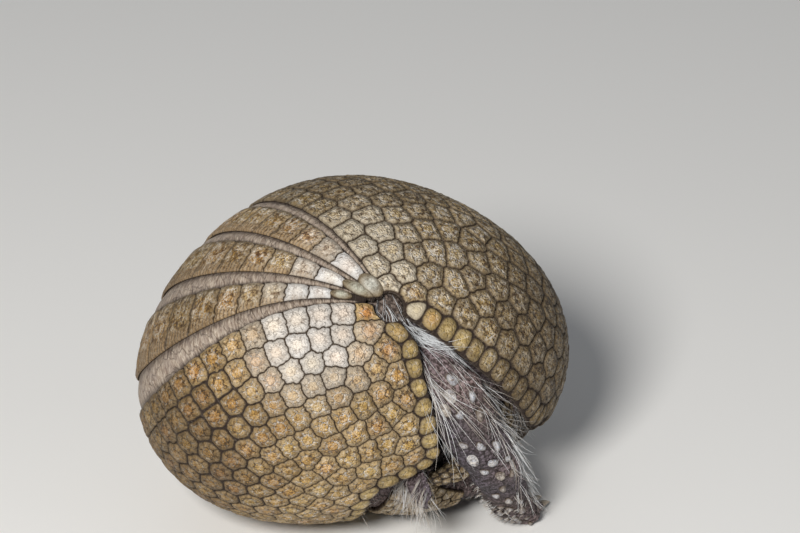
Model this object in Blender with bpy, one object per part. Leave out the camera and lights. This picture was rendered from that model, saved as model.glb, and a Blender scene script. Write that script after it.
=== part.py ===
"""Southern three-banded armadillo, life size, half curled up and resting on its right flank.

The shell is a slightly egg-shaped ball. Its plates are laid out in the ball's own frame: +X points out
of the left flank, +Y and +Z span the plane of symmetry, and a place on the shell is given by its angle
round the flank axis and its latitude towards the left flank. Going backwards along the animal, the
angle falls: front shield, three bands, rear shield. Between the free rims of the two shields lies the
belly opening, with the head, the tail and the four feet folded into it.

Lengths are in millimetres and angles in degrees until the meshes are made, in metres, with the floor
at z = 0 and the origin under the middle of the whole animal.
"""

import math

import bmesh
import bpy
import numpy as np

MM = 0.001

# Shell ball
HALF_WIDTH = 60.0
LONG_RADIUS = 76.0
SHORT_RADIUS = 59.2
LONG_AXIS_ANGLE = 14.3
EGG_SHARE = 0.037
EGG_ANGLE = 103.8

# How the ball lies
FLANK_LIFT = 45.0
BALL_TURN = 13.6
BALL_CENTRE = (-1.1, 0.65, 57.0)

# Plates
PLATE_DEPTH = 3.2
FLANGE_DROP = 1.4
LIP_DEPTH = 1.0
LIP_SPAN = 2.6
UNDERLAP = 1.9
RIM_ROUND = 1.0
LATITUDE_STEPS = 18
LAST_COMMON_LATITUDE = 79.0

# Plate boundaries: angle at the flanks, and what the angle gains at the midline
FRONT_SHIELD_REAR = (177.2, 21.0)
BAND_EDGES = (
    ((173.0, 16.4), (163.6, 9.6)),
    ((159.6, 6.1), (147.7, 2.0)),
    ((142.6, 2.3), (125.5, 5.9)),
)
REAR_SHIELD_FRONT = (120.6, 6.8)
FRONT_SHIELD_RIM = (300.6, -1.9)
REAR_SHIELD_RIM = (-28.7, 3.5)
PLATE_ENDS = {
    "scapular_shield": 84.5,
    "band_1": 82.0,
    "band_2": 84.5,
    "band_3": 86.0,
    "pelvic_shield": 85.2,
}
HEAD_NOTCH = (24.0, 17.0, 33.0)
TAIL_NOTCH = (-8.0, 9.0, 17.0)

# Trunk
TRUNK_DEPTH = 4.3
FLANK_PATCH_DEPTH = 2.0
POUCH_CENTRE = (315.0, -15.0)
POUCH_REACH = (26.0, 30.0)
POUCH_DEPTH = (12.0, 15.0)
POUCH_FADE = (84.0, 14.0)

CLEARANCE = 0.35
TRUNK_CLEARANCE = 0.6

# Head, in the ball's frame: the axis runs from the nape to the tip of the snout
NAPE = (-5.0, 0.0, -38.6)
SNOUT = (-15.0, 62.0, -39.0)
HEAD_START = 0.06
NECK_SHARES = (-0.16, -0.06, 0.054)
# share of the head's length, half width, height above the axis, depth below it
HEAD_PROFILE = (
    (-0.16, 13.5, 11.5, 11.0),
    (0.00, 15.0, 12.5, 12.0),
    (0.14, 17.2, 13.4, 13.0),
    (0.28, 17.6, 13.6, 13.2),
    (0.42, 15.6, 12.8, 12.0),
    (0.54, 12.2, 10.8, 9.8),
    (0.66, 9.2, 8.2, 7.6),
    (0.78, 7.4, 6.6, 6.0),
    (0.90, 6.0, 5.4, 5.0),
    (0.975, 4.6, 4.2, 4.0),
    (1.00, 2.4, 2.2, 2.1),
)
HEAD_SIDES = 16
HEAD_SHIELD_RANGE = (0.19, 0.66)
HEAD_SHIELD_HALF_ANGLE = 62.0
HEAD_SHIELD_THICKNESS = 1.8
EYE_PLACE = 0.47
EYE_ANGLE = 74.0
EYE_RADIUS = 3.1
EYE_SUNK = 1.5

# Ears, in the ball's frame: place along the head, root angle from the crown, vector from root to tip,
# and the way the cup faces. The left one stands out, the right one is folded along the cheek.
EARS = {
    "left": (0.17, 74.0, (12.5, 8.0, -15.0), (0.0, 1.0, 0.0)),
    "right": (0.22, -106.0, (-3.0, 18.0, 2.5), (-1.0, 0.0, 0.0)),
}
EAR_HALF_WIDTH = 7.4
EAR_CUP = 2.6
EAR_STANDOFF = 2.4
EAR_THICKNESS = 1.5

# Tail, in the ball's frame: flank offset, angle, distance from the flank axis, half width, half height
TAIL_RINGS = (
    (6.0, 350.0, 49.0, 10.5, 7.5),
    (7.0, 337.0, 53.5, 9.8, 7.0),
    (8.2, 322.0, 55.5, 7.2, 5.7),
    (10.6, 309.0, 54.8, 5.2, 4.2),
    (12.2, 298.5, 53.2, 2.8, 2.4),
    (12.6, 295.5, 52.6, 1.3, 1.1),
)

# Limbs, measured from the ball's centre with +Z up: x, y, z, half width, half thickness
LIMB_RINGS = {
    "foreleg_left": (
        (22.0, -33.0, 22.0, 6.0, 6.0),
        (28.4, -40.6, 17.4, 7.4, 6.6),
        (35.6, -42.2, 8.0, 9.6, 6.8),
        (40.0, -42.3, -3.2, 10.3, 6.6),
        (45.0, -40.0, -14.0, 9.8, 6.3),
        (49.6, -34.6, -26.0, 8.6, 5.8),
        (53.0, -28.6, -38.0, 7.8, 5.4),
        (55.4, -23.0, -47.0, 7.8, 5.0),
        (57.6, -17.0, -53.6, 8.0, 4.3),
        (60.0, -11.5, -54.1, 7.0, 3.4),
    ),
    "foreleg_right": (
        (14.0, 18.0, -26.0, 9.0, 8.0),
        (17.5, 16.0, -37.0, 8.6, 7.6),
        (21.0, 13.0, -46.0, 7.8, 6.4),
        (25.0, 12.0, -51.6, 7.4, 5.4),
        (29.0, 12.3, -53.6, 7.4, 4.2),
        (33.0, 12.6, -54.1, 6.6, 3.4),
    ),
    "hindleg_right": (
        (31.0, 10.0, -28.0, 9.0, 8.0),
        (36.0, 5.0, -40.0, 8.2, 7.0),
        (40.0, 3.0, -48.0, 7.2, 6.0),
        (44.5, 3.4, -52.0, 7.0, 5.0),
        (48.0, 4.0, -53.7, 7.0, 4.0),
        (51.5, 4.6, -54.1, 6.6, 3.4),
    ),
}
TUCKED_HINDLEG_RINGS = (
    (26.0, 44.0, -9.0, 9.0, 6.5),
    (23.5, 38.0, -19.0, 8.2, 6.0),
    (21.5, 30.0, -25.0, 7.2, 5.0),
    (20.5, 21.0, -28.0, 6.8, 4.4),
    (20.0, 15.0, -29.5, 6.2, 3.2),
)
LIMB_SIDES = 12

# Claws: count, half their spread across the foot, length and half thickness of the middle one
CLAW_SETS = {
    "foreleg_left": (4, 5.4, 12.0, 1.7),
    "foreleg_right": (4, 5.2, 12.0, 1.7),
    "hindleg_left": (5, 5.2, 6.4, 1.3),
    "hindleg_right": (5, 5.6, 6.4, 1.3),
}
CLAW_STANDOFF = 0.8
CLAW_DROOP = 0.15


def unit(vector):
    vector = np.asarray(vector, float)
    return vector / np.linalg.norm(vector)


def smooth(share):
    """0 below 0, 1 above 1, and an S-curve in between."""
    share = min(1.0, max(0.0, share))
    return share * share * (3.0 - 2.0 * share)


def ball_axes():
    """The ball's +X, +Y and +Z as columns, in the world's frame."""
    lift = math.radians(FLANK_LIFT)
    turn = math.radians(BALL_TURN)
    flank = np.array([0.0, -math.cos(lift), math.sin(lift)])
    side = np.array([1.0, 0.0, 0.0])
    back = np.array([0.0, math.sin(lift), math.cos(lift)])
    flank_turned = flank * math.cos(turn) + side * math.sin(turn)
    side_turned = side * math.cos(turn) - flank * math.sin(turn)
    return np.column_stack([flank_turned, side_turned, back])


AXES = ball_axes()
CENTRE = np.array(BALL_CENTRE)


def ball_to_world(point):
    return CENTRE + AXES @ np.asarray(point, float)


def place_on_ball(angle, latitude, depth=0.0):
    """The point at this angle and latitude, this far below the shell's surface, in the ball's frame."""
    theta = math.radians(angle)
    phi = math.radians(latitude)
    x = math.sin(phi)
    y = math.cos(phi) * math.cos(theta)
    z = math.cos(phi) * math.sin(theta)
    slant = math.radians(LONG_AXIS_ANGLE)
    along = y * math.cos(slant) + z * math.sin(slant)
    across = z * math.cos(slant) - y * math.sin(slant)
    shares = (x / HALF_WIDTH, along / LONG_RADIUS, across / SHORT_RADIUS)
    radius = 1.0 / math.sqrt(sum(share**2 for share in shares))
    radius *= 1.0 + EGG_SHARE * math.cos(phi) ** 2 * math.cos(3.0 * (theta - math.radians(EGG_ANGLE)))
    return (radius - depth) * np.array([x, y, z])


def line_angle(line, latitude):
    at_flank, gain = line
    return at_flank + gain * math.cos(math.radians(latitude)) ** 2


def rim_angle(line, notch, latitude):
    """The free rim of a shield, with its notch for the head or the tail round the midline."""
    depth, full, none = notch
    return line_angle(line, latitude) - depth * smooth((none - abs(latitude)) / (none - full))


def new_material(name, colour, roughness):
    material = bpy.data.materials.new(name)
    material.use_nodes = True
    shader = material.node_tree.nodes["Principled BSDF"]
    shader.inputs["Base Color"].default_value = (*colour, 1.0)
    shader.inputs["Roughness"].default_value = roughness
    shader.inputs["Metallic"].default_value = 0.0
    return material


def new_object(name, points, faces, material):
    """An object from world points in millimetres, pressed flat where it would reach under the floor."""
    points = np.array(points, float)
    points[:, 2] = np.where(points[:, 2] < 0.0, 0.0, points[:, 2])
    mesh = bpy.data.meshes.new(name)
    mesh.from_pydata([tuple(point * MM) for point in points], [], faces)
    outward = bmesh.new()
    outward.from_mesh(mesh)
    bmesh.ops.recalc_face_normals(outward, faces=outward.faces)
    outward.to_mesh(mesh)
    outward.free()
    obj = bpy.data.objects.new(name, mesh)
    bpy.context.scene.collection.objects.link(obj)
    mesh.materials.append(material)
    mesh.shade_smooth()
    mesh.set_sharp_from_angle(angle=math.radians(40.0))
    return obj


def hide_as_cutter(obj):
    obj.hide_render = True
    obj.display_type = "WIRE"
    return obj


def cut(obj, cutter):
    modifier = obj.modifiers.new("clear of " + cutter.name, "BOOLEAN")
    modifier.operation = "DIFFERENCE"
    modifier.solver = "EXACT"
    modifier.object = cutter


def grid_slab(outer, inner):
    """Points and faces of a slab between two grids of points with the same rows and columns."""
    rows = len(outer)
    columns = len(outer[0])
    points = [point for row in outer for point in row] + [point for row in inner for point in row]
    below = rows * columns
    faces = []
    for i in range(rows - 1):
        for j in range(columns - 1):
            a = i * columns + j
            b = a + 1
            c = a + columns + 1
            d = a + columns
            faces.append((a, b, c, d))
            faces.append((below + d, below + c, below + b, below + a))
    edge = [j for j in range(columns)]
    edge += [i * columns + columns - 1 for i in range(1, rows)]
    edge += [(rows - 1) * columns + j for j in range(columns - 2, -1, -1)]
    edge += [i * columns for i in range(rows - 2, 0, -1)]
    for here, after in zip(edge, edge[1:] + edge[:1]):
        faces.append((after, here, below + here, below + after))
    return points, faces


def latitudes(name):
    last = PLATE_ENDS[name]
    steps = np.linspace(-LAST_COMMON_LATITUDE, LAST_COMMON_LATITUDE, LATITUDE_STEPS + 1)
    return [-last, *steps, last]


def plate(name, stations_at, material):
    """A shell plate. stations_at(latitude) lists (angle, outer depth, inner depth) from rear to front."""
    outer = []
    inner = []
    for latitude in latitudes(name):
        stations = stations_at(latitude)
        outer.append([ball_to_world(place_on_ball(angle, latitude, top)) for angle, top, _ in stations])
        inner.append([ball_to_world(place_on_ball(angle, latitude, low)) for angle, _, low in stations])
    points, faces = grid_slab(outer, inner)
    return new_object(name, points, faces, material)


def lip_stations(line, latitude):
    """The thin rear lip of a plate, which covers the flange of the plate behind it."""
    edge = line_angle(line, latitude)
    return [
        (edge, 0.5, LIP_DEPTH),
        (edge + 0.7, 0.0, LIP_DEPTH),
        (edge + LIP_SPAN - 0.2, 0.0, LIP_DEPTH),
        (edge + LIP_SPAN, 0.0, PLATE_DEPTH),
    ]


def flange_stations(ornament_line, covered_by, latitude):
    """The smooth front flange of a plate, running under the lip of the plate in front of it."""
    ornament = line_angle(ornament_line, latitude)
    hidden_edge = line_angle(covered_by, latitude) + UNDERLAP
    return [
        (ornament - 0.5, 0.0, PLATE_DEPTH),
        (ornament, FLANGE_DROP, PLATE_DEPTH),
        (hidden_edge, FLANGE_DROP, PLATE_DEPTH),
    ]


def band_stations(number):
    front, rear = BAND_EDGES[number]
    covered_by = FRONT_SHIELD_REAR if number == 0 else BAND_EDGES[number - 1][1]

    def stations_at(latitude):
        lip = lip_stations(rear, latitude)
        flange = flange_stations(front, covered_by, latitude)
        return lip + flange

    return stations_at


def rim_stations(edge, towards):
    """The rounded free rim of a shield; towards is +1 where the shield lies at higher angles."""
    return [
        (edge, 1.1, PLATE_DEPTH - 0.6),
        (edge + towards * RIM_ROUND, 0.25, PLATE_DEPTH),
        (edge + towards * 2.4 * RIM_ROUND, 0.0, PLATE_DEPTH),
    ]


def spread(start, end, count):
    """The angles that divide the span from start to end into count equal steps, without its ends."""
    return [start + (end - start) * k / count for k in range(1, count)]


def front_shield_stations(latitude):
    lip = lip_stations(FRONT_SHIELD_REAR, latitude)
    rim = rim_stations(rim_angle(FRONT_SHIELD_RIM, HEAD_NOTCH, latitude), -1.0)
    middle = [(a, 0.0, PLATE_DEPTH) for a in spread(lip[-1][0], rim[-1][0], 12)]
    return lip + middle + rim[::-1]


def rear_shield_stations(latitude):
    rim = rim_stations(rim_angle(REAR_SHIELD_RIM, TAIL_NOTCH, latitude), 1.0)
    flange = flange_stations(REAR_SHIELD_FRONT, BAND_EDGES[2][1], latitude)
    middle = [(a, 0.0, PLATE_DEPTH) for a in spread(rim[-1][0], flange[0][0], 17)]
    return rim + middle + flange


def pouch(angle, latitude):
    """How far the belly is drawn in below the shell in the opening between the shields."""
    widening = math.cos(math.radians(latitude)) ** 2
    centre = POUCH_CENTRE[0] + POUCH_CENTRE[1] * widening
    reach = POUCH_REACH[0] + POUCH_REACH[1] * widening
    depth = POUCH_DEPTH[0] + POUCH_DEPTH[1] * widening
    away = (angle - centre + 180.0) % 360.0 - 180.0
    if abs(away) >= reach:
        return 0.0
    fade = smooth((POUCH_FADE[0] - abs(latitude)) / POUCH_FADE[1])
    return depth * fade * smooth(1.5 * (1.0 - abs(away) / reach))


def trunk(name, material, swell=0.0):
    """The body inside the shell, as rings round the flank axis, closed at both flanks."""
    angles = [k * 10.0 for k in range(36)]
    rings = [k * 8.5 for k in range(-10, 11)]
    points = [ball_to_world(place_on_ball(0.0, -90.0, FLANK_PATCH_DEPTH - swell))]
    for latitude in rings:
        for angle in angles:
            depth = TRUNK_DEPTH + pouch(angle, latitude) - swell
            points.append(ball_to_world(place_on_ball(angle, latitude, depth)))
    points.append(ball_to_world(place_on_ball(0.0, 90.0, FLANK_PATCH_DEPTH - swell)))
    count = len(angles)
    faces = []
    for j in range(count):
        after = (j + 1) % count
        faces.append((0, 1 + after, 1 + j))
        faces.append((len(points) - 1, len(points) - 1 - count + j, len(points) - 1 - count + after))
        for i in range(len(rings) - 1):
            a = 1 + i * count
            faces.append((a + j, a + after, a + count + after, a + count + j))
    return new_object(name, points, faces, material)


def loft(name, rings, material):
    """One body through rings of world points, with its two ends closed flat."""
    sides = len(rings[0])
    points = [point for ring in rings for point in ring]
    faces = []
    for i in range(len(rings) - 1):
        for j in range(sides):
            after = (j + 1) % sides
            a = i * sides
            faces.append((a + j, a + after, a + sides + after, a + sides + j))
    faces.append(tuple(range(sides - 1, -1, -1)))
    last = (len(rings) - 1) * sides
    faces.append(tuple(last + j for j in range(sides)))
    return new_object(name, points, faces, material)


def oval_ring(centre, along, wide, half_wide, half_thick):
    """A ring round centre, square to along, whose wider axis is nearest to wide."""
    along = unit(along)
    wide = unit(np.asarray(wide, float) - along * np.dot(wide, along))
    thick = np.cross(along, wide)
    ring = []
    for k in range(LIMB_SIDES):
        turn = 2.0 * math.pi * k / LIMB_SIDES
        ring.append(centre + wide * half_wide * math.cos(turn) + thick * half_thick * math.sin(turn))
    return ring


def oval_loft(name, rings, wide_axes, material):
    """A limb or tail through (centre, half width, half thickness) in the world's frame.

    wide_axes holds the way its width runs at the body and at the tip.
    """
    centres = [np.array(centre, float) for centre, _, _ in rings]
    at_body, at_tip = wide_axes
    made = []
    for index, (_, half_wide, half_thick) in enumerate(rings):
        before = centres[max(0, index - 1)]
        after = centres[min(len(centres) - 1, index + 1)]
        turned = smooth((index / (len(rings) - 1) - 0.45) / 0.45)
        wide = at_body * (1.0 - turned) + at_tip * turned
        made.append(oval_ring(centres[index], after - before, wide, half_wide, half_thick))
    return loft(name, made, material)


def limb_rings(name):
    """A limb's rings in the world's frame."""
    if name == "hindleg_left":
        return [(ball_to_world(ring[:3]), ring[3], ring[4]) for ring in TUCKED_HINDLEG_RINGS]
    return [(CENTRE + np.array(ring[:3]), ring[3], ring[4]) for ring in LIMB_RINGS[name]]


def limb_width_axes(name):
    """The directions across a limb at the body and across its foot."""
    if name == "hindleg_left":
        across = AXES @ np.array([0.35, 0.0, 1.0])
        return across, across
    if name == "foreleg_left":
        return np.array([0.86, 0.24, 0.45]), np.array([0.92, -0.4, 0.0])
    across = np.array([0.0, 1.0, 0.0])
    return across, across


def limb(name, material):
    return oval_loft(name, limb_rings(name), limb_width_axes(name), material)


def tail_rings():
    rings = []
    for flank, angle, distance, half_wide, half_high in TAIL_RINGS:
        theta = math.radians(angle)
        centre = (flank, distance * math.cos(theta), distance * math.sin(theta))
        rings.append((ball_to_world(centre), half_wide, half_high))
    return rings


def head_frame():
    """Nape, axis vector, side to the animal's left, and the way the crown faces, in the world's frame."""
    nape = ball_to_world(NAPE)
    axis = ball_to_world(SNOUT) - nape
    left = AXES @ np.array([1.0, 0.0, 0.0])
    left = unit(left - unit(axis) * np.dot(left, unit(axis)))
    crown = np.cross(left, unit(axis))
    if np.dot(crown, AXES @ np.array([0.0, 0.0, -1.0])) < 0.0:
        crown = -crown
    return nape, axis, left, crown


def head_size(share):
    """Half width, height above and depth below the axis, this far along the head."""
    shares = [row[0] for row in HEAD_PROFILE]
    return [float(np.interp(share, shares, [row[k] for row in HEAD_PROFILE])) for k in (1, 2, 3)]


def head_point(share, angle, proud=0.0):
    """A point of the head's surface. angle runs from the crown over the left side to the chin."""
    nape, axis, left, crown = head_frame()
    half_width, above, below = head_size(share)
    turn = math.radians(angle)
    high = above if math.cos(turn) > 0.0 else below
    sideways = (half_width + proud) * math.sin(turn)
    upwards = (high + proud) * math.cos(turn)
    return nape + axis * share + left * sideways + crown * upwards


def head_piece(name, shares, material):
    """A length of the head and neck, from ring to ring at these shares of the head's length."""
    angles = [360.0 * k / HEAD_SIDES for k in range(HEAD_SIDES)]
    rings = [[head_point(share, angle) for angle in angles] for share in shares]
    return loft(name, rings, material)


def head_shield(material):
    start, end = HEAD_SHIELD_RANGE
    outer = []
    inner = []
    steps = 9
    for i in range(steps + 1):
        along = i / steps
        share = start + (end - start) * along
        reach = HEAD_SHIELD_HALF_ANGLE * (1.0 - 0.35 * along**2) * (0.6 + 0.4 * smooth(along / 0.25))
        proud = CLEARANCE + HEAD_SHIELD_THICKNESS * (1.0 if 0 < i < steps else 0.6)
        angles = [reach * (k / 4.0) for k in range(-4, 5)]
        tops = [proud - (0.6 if abs(angle) == reach else 0.0) for angle in angles]
        outer.append([head_point(share, angle, top) for angle, top in zip(angles, tops)])
        inner.append([head_point(share, angle, CLEARANCE) for angle in angles])
    points, faces = grid_slab(outer, inner)
    return new_object("head_shield", points, faces, material)


def ball(name, centre, radius, material):
    """A small ball, ten slices round and six rows high."""
    slices = 10
    rows = 6
    points = [centre + np.array([0.0, 0.0, -radius])]
    for i in range(1, rows):
        tilt = math.pi * i / rows
        for j in range(slices):
            turn = 2.0 * math.pi * j / slices
            out = radius * math.sin(tilt)
            high = -radius * math.cos(tilt)
            points.append(centre + np.array([out * math.cos(turn), out * math.sin(turn), high]))
    points.append(centre + np.array([0.0, 0.0, radius]))
    faces = []
    top = len(points) - 1
    for j in range(slices):
        after = (j + 1) % slices
        faces.append((0, 1 + after, 1 + j))
        faces.append((top, top - slices + j, top - slices + after))
        for i in range(rows - 2):
            a = 1 + i * slices
            faces.append((a + j, a + after, a + slices + after, a + slices + j))
    return new_object(name, points, faces, material)


def eye_centre(side):
    sign = 1.0 if side == "left" else -1.0
    return head_point(EYE_PLACE, sign * EYE_ANGLE, -EYE_SUNK)


def ear(side, material):
    """A cupped leaf, broad in the middle and rounded at the tip."""
    place, angle, vector, facing = EARS[side]
    root = head_point(place, angle, EAR_STANDOFF)
    reach = AXES @ np.array(vector)
    across = unit(np.cross(AXES @ np.array(facing), reach))
    face = unit(np.cross(reach, across))
    outer = []
    inner = []
    steps = 7
    for i in range(steps + 1):
        along = i / steps
        half = EAR_HALF_WIDTH * math.sin(math.pi * (0.12 + 0.8 * along)) ** 0.7
        top = []
        low = []
        for k in range(-2, 3):
            offset = k / 2.0
            cup = EAR_CUP * (offset**2) * (1.0 - 0.4 * along)
            thick = EAR_THICKNESS * (1.0 - 0.45 * abs(offset)) * (1.0 - 0.35 * along)
            spine = root + reach * along + across * half * offset
            top.append(spine + face * (cup + thick / 2.0))
            low.append(spine + face * (cup - thick / 2.0))
        outer.append(top)
        inner.append(low)
    points, faces = grid_slab(outer, inner)
    return new_object("ear_" + side, points, faces, material)


def claw(name, root, along, down, length, half_thick, material):
    """A curved, pointed claw, deeper than it is wide, that bends down towards its tip."""
    along = unit(along)
    side = unit(np.cross(along, down))
    rings = []
    for share, size in ((0.0, 1.0), (0.35, 0.9), (0.72, 0.56), (1.0, 0.14)):
        centre = root + along * length * share + down * length * CLAW_DROOP * share**2
        ring = []
        for k in range(6):
            turn = 2.0 * math.pi * k / 6
            high = 1.15 * half_thick * size * math.cos(turn)
            wide = 0.9 * half_thick * size * math.sin(turn)
            ring.append(centre + side * wide - down * high)
        rings.append(ring)
    return loft(name, rings, material)


def claws(limb_name, material):
    """A row of claws across the tip of one foot, the middle ones longest."""
    count, half_spread, length, half_thick = CLAW_SETS[limb_name]
    rings = limb_rings(limb_name)
    tip = rings[-1][0]
    along = unit(tip - rings[-2][0])
    across = limb_width_axes(limb_name)[1]
    across = unit(across - along * np.dot(across, along))
    pad_down = unit(np.cross(along, across))
    if pad_down[2] > 0.0:
        pad_down = -pad_down
    middle = (count - 1) / 2.0
    kind = "claw" if limb_name.startswith("fore") else "nail"
    for k in range(count):
        offset = (k - middle) / middle
        size = 1.0 - 0.38 * abs(offset) ** 1.5
        root = tip + across * half_spread * offset + along * CLAW_STANDOFF
        heading = along + across * 0.22 * offset
        name = f"{kind}_{limb_name}_{k + 1}"
        thickness = half_thick * (0.75 + 0.25 * size)
        claw(name, root, heading, pad_down, length * size, thickness, material)


def clear_scene():
    for obj in list(bpy.data.objects):
        bpy.data.objects.remove(obj)


def build():
    horn = new_material("shell_horn", (0.50, 0.36, 0.17), 0.55)
    skin = new_material("bare_skin", (0.24, 0.17, 0.14), 0.6)
    claw_horn = new_material("claw_horn", (0.42, 0.36, 0.26), 0.4)
    eye_dark = new_material("eye", (0.02, 0.015, 0.012), 0.08)

    plate("scapular_shield", front_shield_stations, horn)
    for number in range(3):
        plate(f"band_{number + 1}", band_stations(number), horn)
    plate("pelvic_shield", rear_shield_stations, horn)
    trunk("trunk", skin)
    body_room = hide_as_cutter(trunk("room_for_trunk", skin, TRUNK_CLEARANCE))
    neck = head_piece("neck", NECK_SHARES, skin)
    head = head_piece("head", [HEAD_START, *[row[0] for row in HEAD_PROFILE[2:]]], skin)
    head_shield(horn)
    for side in ("left", "right"):
        ear(side, skin)
        ball("eye_" + side, eye_centre(side), EYE_RADIUS, eye_dark)
        socket = ball("room_for_eye_" + side, eye_centre(side), EYE_RADIUS + CLEARANCE, eye_dark)
        cut(head, hide_as_cutter(socket))
    flank_axis = AXES @ np.array([1.0, 0.0, 0.0])
    tail = oval_loft("tail", tail_rings(), (flank_axis, flank_axis), horn)
    for piece in (neck, head, tail):
        cut(piece, body_room)
    for name in (*LIMB_RINGS, "hindleg_left"):
        cut(limb(name, skin), body_room)
        claws(name, claw_horn)


clear_scene()
build()
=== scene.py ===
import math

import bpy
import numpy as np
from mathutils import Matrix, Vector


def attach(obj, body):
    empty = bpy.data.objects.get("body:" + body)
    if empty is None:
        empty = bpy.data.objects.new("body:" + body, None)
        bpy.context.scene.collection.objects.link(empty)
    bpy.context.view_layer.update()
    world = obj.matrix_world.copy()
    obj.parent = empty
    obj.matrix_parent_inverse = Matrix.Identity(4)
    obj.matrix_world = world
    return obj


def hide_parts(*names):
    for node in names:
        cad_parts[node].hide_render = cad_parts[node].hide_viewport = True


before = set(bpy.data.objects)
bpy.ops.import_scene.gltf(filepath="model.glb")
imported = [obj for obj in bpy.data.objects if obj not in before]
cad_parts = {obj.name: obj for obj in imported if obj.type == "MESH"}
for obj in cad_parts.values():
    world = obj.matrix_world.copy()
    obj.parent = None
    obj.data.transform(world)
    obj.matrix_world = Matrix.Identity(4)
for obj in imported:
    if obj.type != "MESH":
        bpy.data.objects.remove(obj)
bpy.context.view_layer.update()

# Looks for the southern three-banded armadillo: horn scutes, skin, bristles, eyes and claws.
#
# The shell is laid out as its CAD plates are, in the frame of a slightly egg-shaped ball: +X points out
# of the left flank, +Y and +Z span the plane of symmetry, and a place is given by its angle round the
# flank axis and its latitude towards the left flank. Lengths are in millimetres and angles in degrees
# until a mesh is made, in metres, with the floor at z = 0.

MM = 0.001

# Shell ball
HALF_WIDTH = 60.0
LONG_RADIUS = 76.0
SHORT_RADIUS = 59.2
LONG_AXIS_ANGLE = 14.3
EGG_SHARE = 0.037
EGG_ANGLE = 103.8
FLANK_LIFT = 45.0
BALL_TURN = 13.6
BALL_CENTRE = np.array([-1.1, 0.65, 57.0])
# plain radii that turn millimetres over the shell into angles, where the exact radius doesn't matter
MEAN_RADIUS = 66.0
GAP_RADIUS = 64.0

# Plates
PLATE_DEPTH = 3.2
FLANGE_DROP = 1.4
LIP_DEPTH = 1.0
LIP_SPAN = 2.6
UNDERLAP = 1.9
# how far the middle of a strip between two plates stands up
STRIP_RIDGE = 0.55
# a line across the shell: its angle at the flanks, and how many degrees more it has over the back
FRONT_SHIELD_REAR = (177.2, 21.0)
# for each band, the line where its scutes begin and the line where they end
BAND_EDGES = (
    ((173.0, 16.4), (163.6, 9.6)),
    ((159.6, 6.1), (147.7, 2.0)),
    ((142.6, 2.3), (125.5, 5.9)),
)
REAR_SHIELD_FRONT = (120.6, 6.8)
FRONT_SHIELD_RIM = (300.6, -1.9)
REAR_SHIELD_RIM = (-28.7, 3.5)
# the latitude at which each plate ends
FRONT_SHIELD_END = 84.5
REAR_SHIELD_END = 85.2
BAND_ENDS = (82.0, 84.5, 86.0)
# latitude, half length and half width of the smooth scute at each end of a band
BAND_TIPS = ((73.9, 3.9, 1.7), (78.3, 6.0, 2.2), (80.9, 5.2, 3.3))
# how far each band's tips go from pale green to cream
BAND_TIP_CREAM = (0.10, 0.12, 0.30)
BAND_TIP_PROUD = 0.35
# degrees of latitude across one scute of a band, near the back and near the flanks
BAND_COLUMNS = ((8.7, 7.2), (10.1, 8.5), (8.3, 8.2))
BACK_LATITUDE = 30.0
# a notch in a free rim: its depth in degrees, the latitude up to which it is full, and where it has ended
HEAD_NOTCH = (24.0, 17.0, 33.0)
TAIL_NOTCH = (-8.0, 9.0, 17.0)
FRONT_RIM_BULGE = 2.7
FRONT_RIM_BULGE_AT = 74.5
FRONT_RIM_BULGE_SPAN = 7.0

# Scutes
SCUTE_STEP = 0.62
SUTURE_FLOOR = 0.8
SCUTE_FOOT = 0.95
# inset from the suture, how many times the outline is rounded, and depth below the surface; the foot first
SCUTE_EDGE = (
    (0.05, 0, None),
    (0.07, 0, 0.78),
    (0.25, 1, 0.46),
    (0.60, 4, 0.22),
    (1.25, 10, 0.09),
)
# how the shade factor of a scute works on red, green and blue, so that its painted shade is warmer
SHADE_WARMTH = np.array([1.0, 1.10, 1.28])
# what the horn's material reads from the mesh
SCUTE_NUMBERS = ("edge", "middle", "wear", "comb", "lace")
SCUTE_VECTORS = ("local", "polar")
SCUTE_COLOURS = ("tint", "shade")
# where each kind's scutes start counting; a scute's number sets what chance gives it
FRONT_NUMBERS = 1000
REAR_NUMBERS = 3000
BAND_NUMBERS = 5000
BAND_TIP_NUMBERS = 5900
HEAD_NUMBERS = 7000
TAIL_NUMBERS = 7500
LIMB_NUMBERS = 8000
BAND_SUTURE_NUMBERS = 900
# a cell's sides lie within this reach of its seed, as a tangent, and come from this many neighbours
CELL_REACH = 0.35
CELL_NEIGHBOURS = 26
GHOST_REACH = 13.0
RELAX_ROUNDS = 12
SAMPLES_ON_BALL = 60000

# The layout of the scutes on each plate
# degrees from one column of the front shield to the next, and how fast that grows towards the flanks
COLUMN_STEP = 6.05
COLUMN_GAIN = 0.00355
FRONT_COLUMNS = 13
# millimetres from the bands to the first two rows, and from row to row after those
FRONT_ROWS = (4.9, 13.7)
FRONT_ROW_PITCH = 7.7
REAR_ROWS = (4.7, 15.0)
REAR_ROW_PITCH = 10.4
# millimetres along a row, in the rear shield and in the front shield's plain rows
REAR_SPACING = 9.2
PLAIN_SPACING = 7.8
LEAST_SPACING = 5.2
LAST_ROW_DISTANCE = 96.0
ROW_END = 126.0
# the row along a free rim: millimetres inside it, and along it
FRONT_RIM_SEEDS = (2.1, 7.0)
REAR_RIM_SEEDS = (3.4, 6.4)
# a scute with its seed this near the rim is one of the rim's
FRONT_MARGIN = 2.7
REAR_MARGIN = 3.9
# how far the lines between scutes are jagged
FRONT_JAG = 0.62
REAR_JAG = 0.55
BAND_JAG = 0.80

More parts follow.
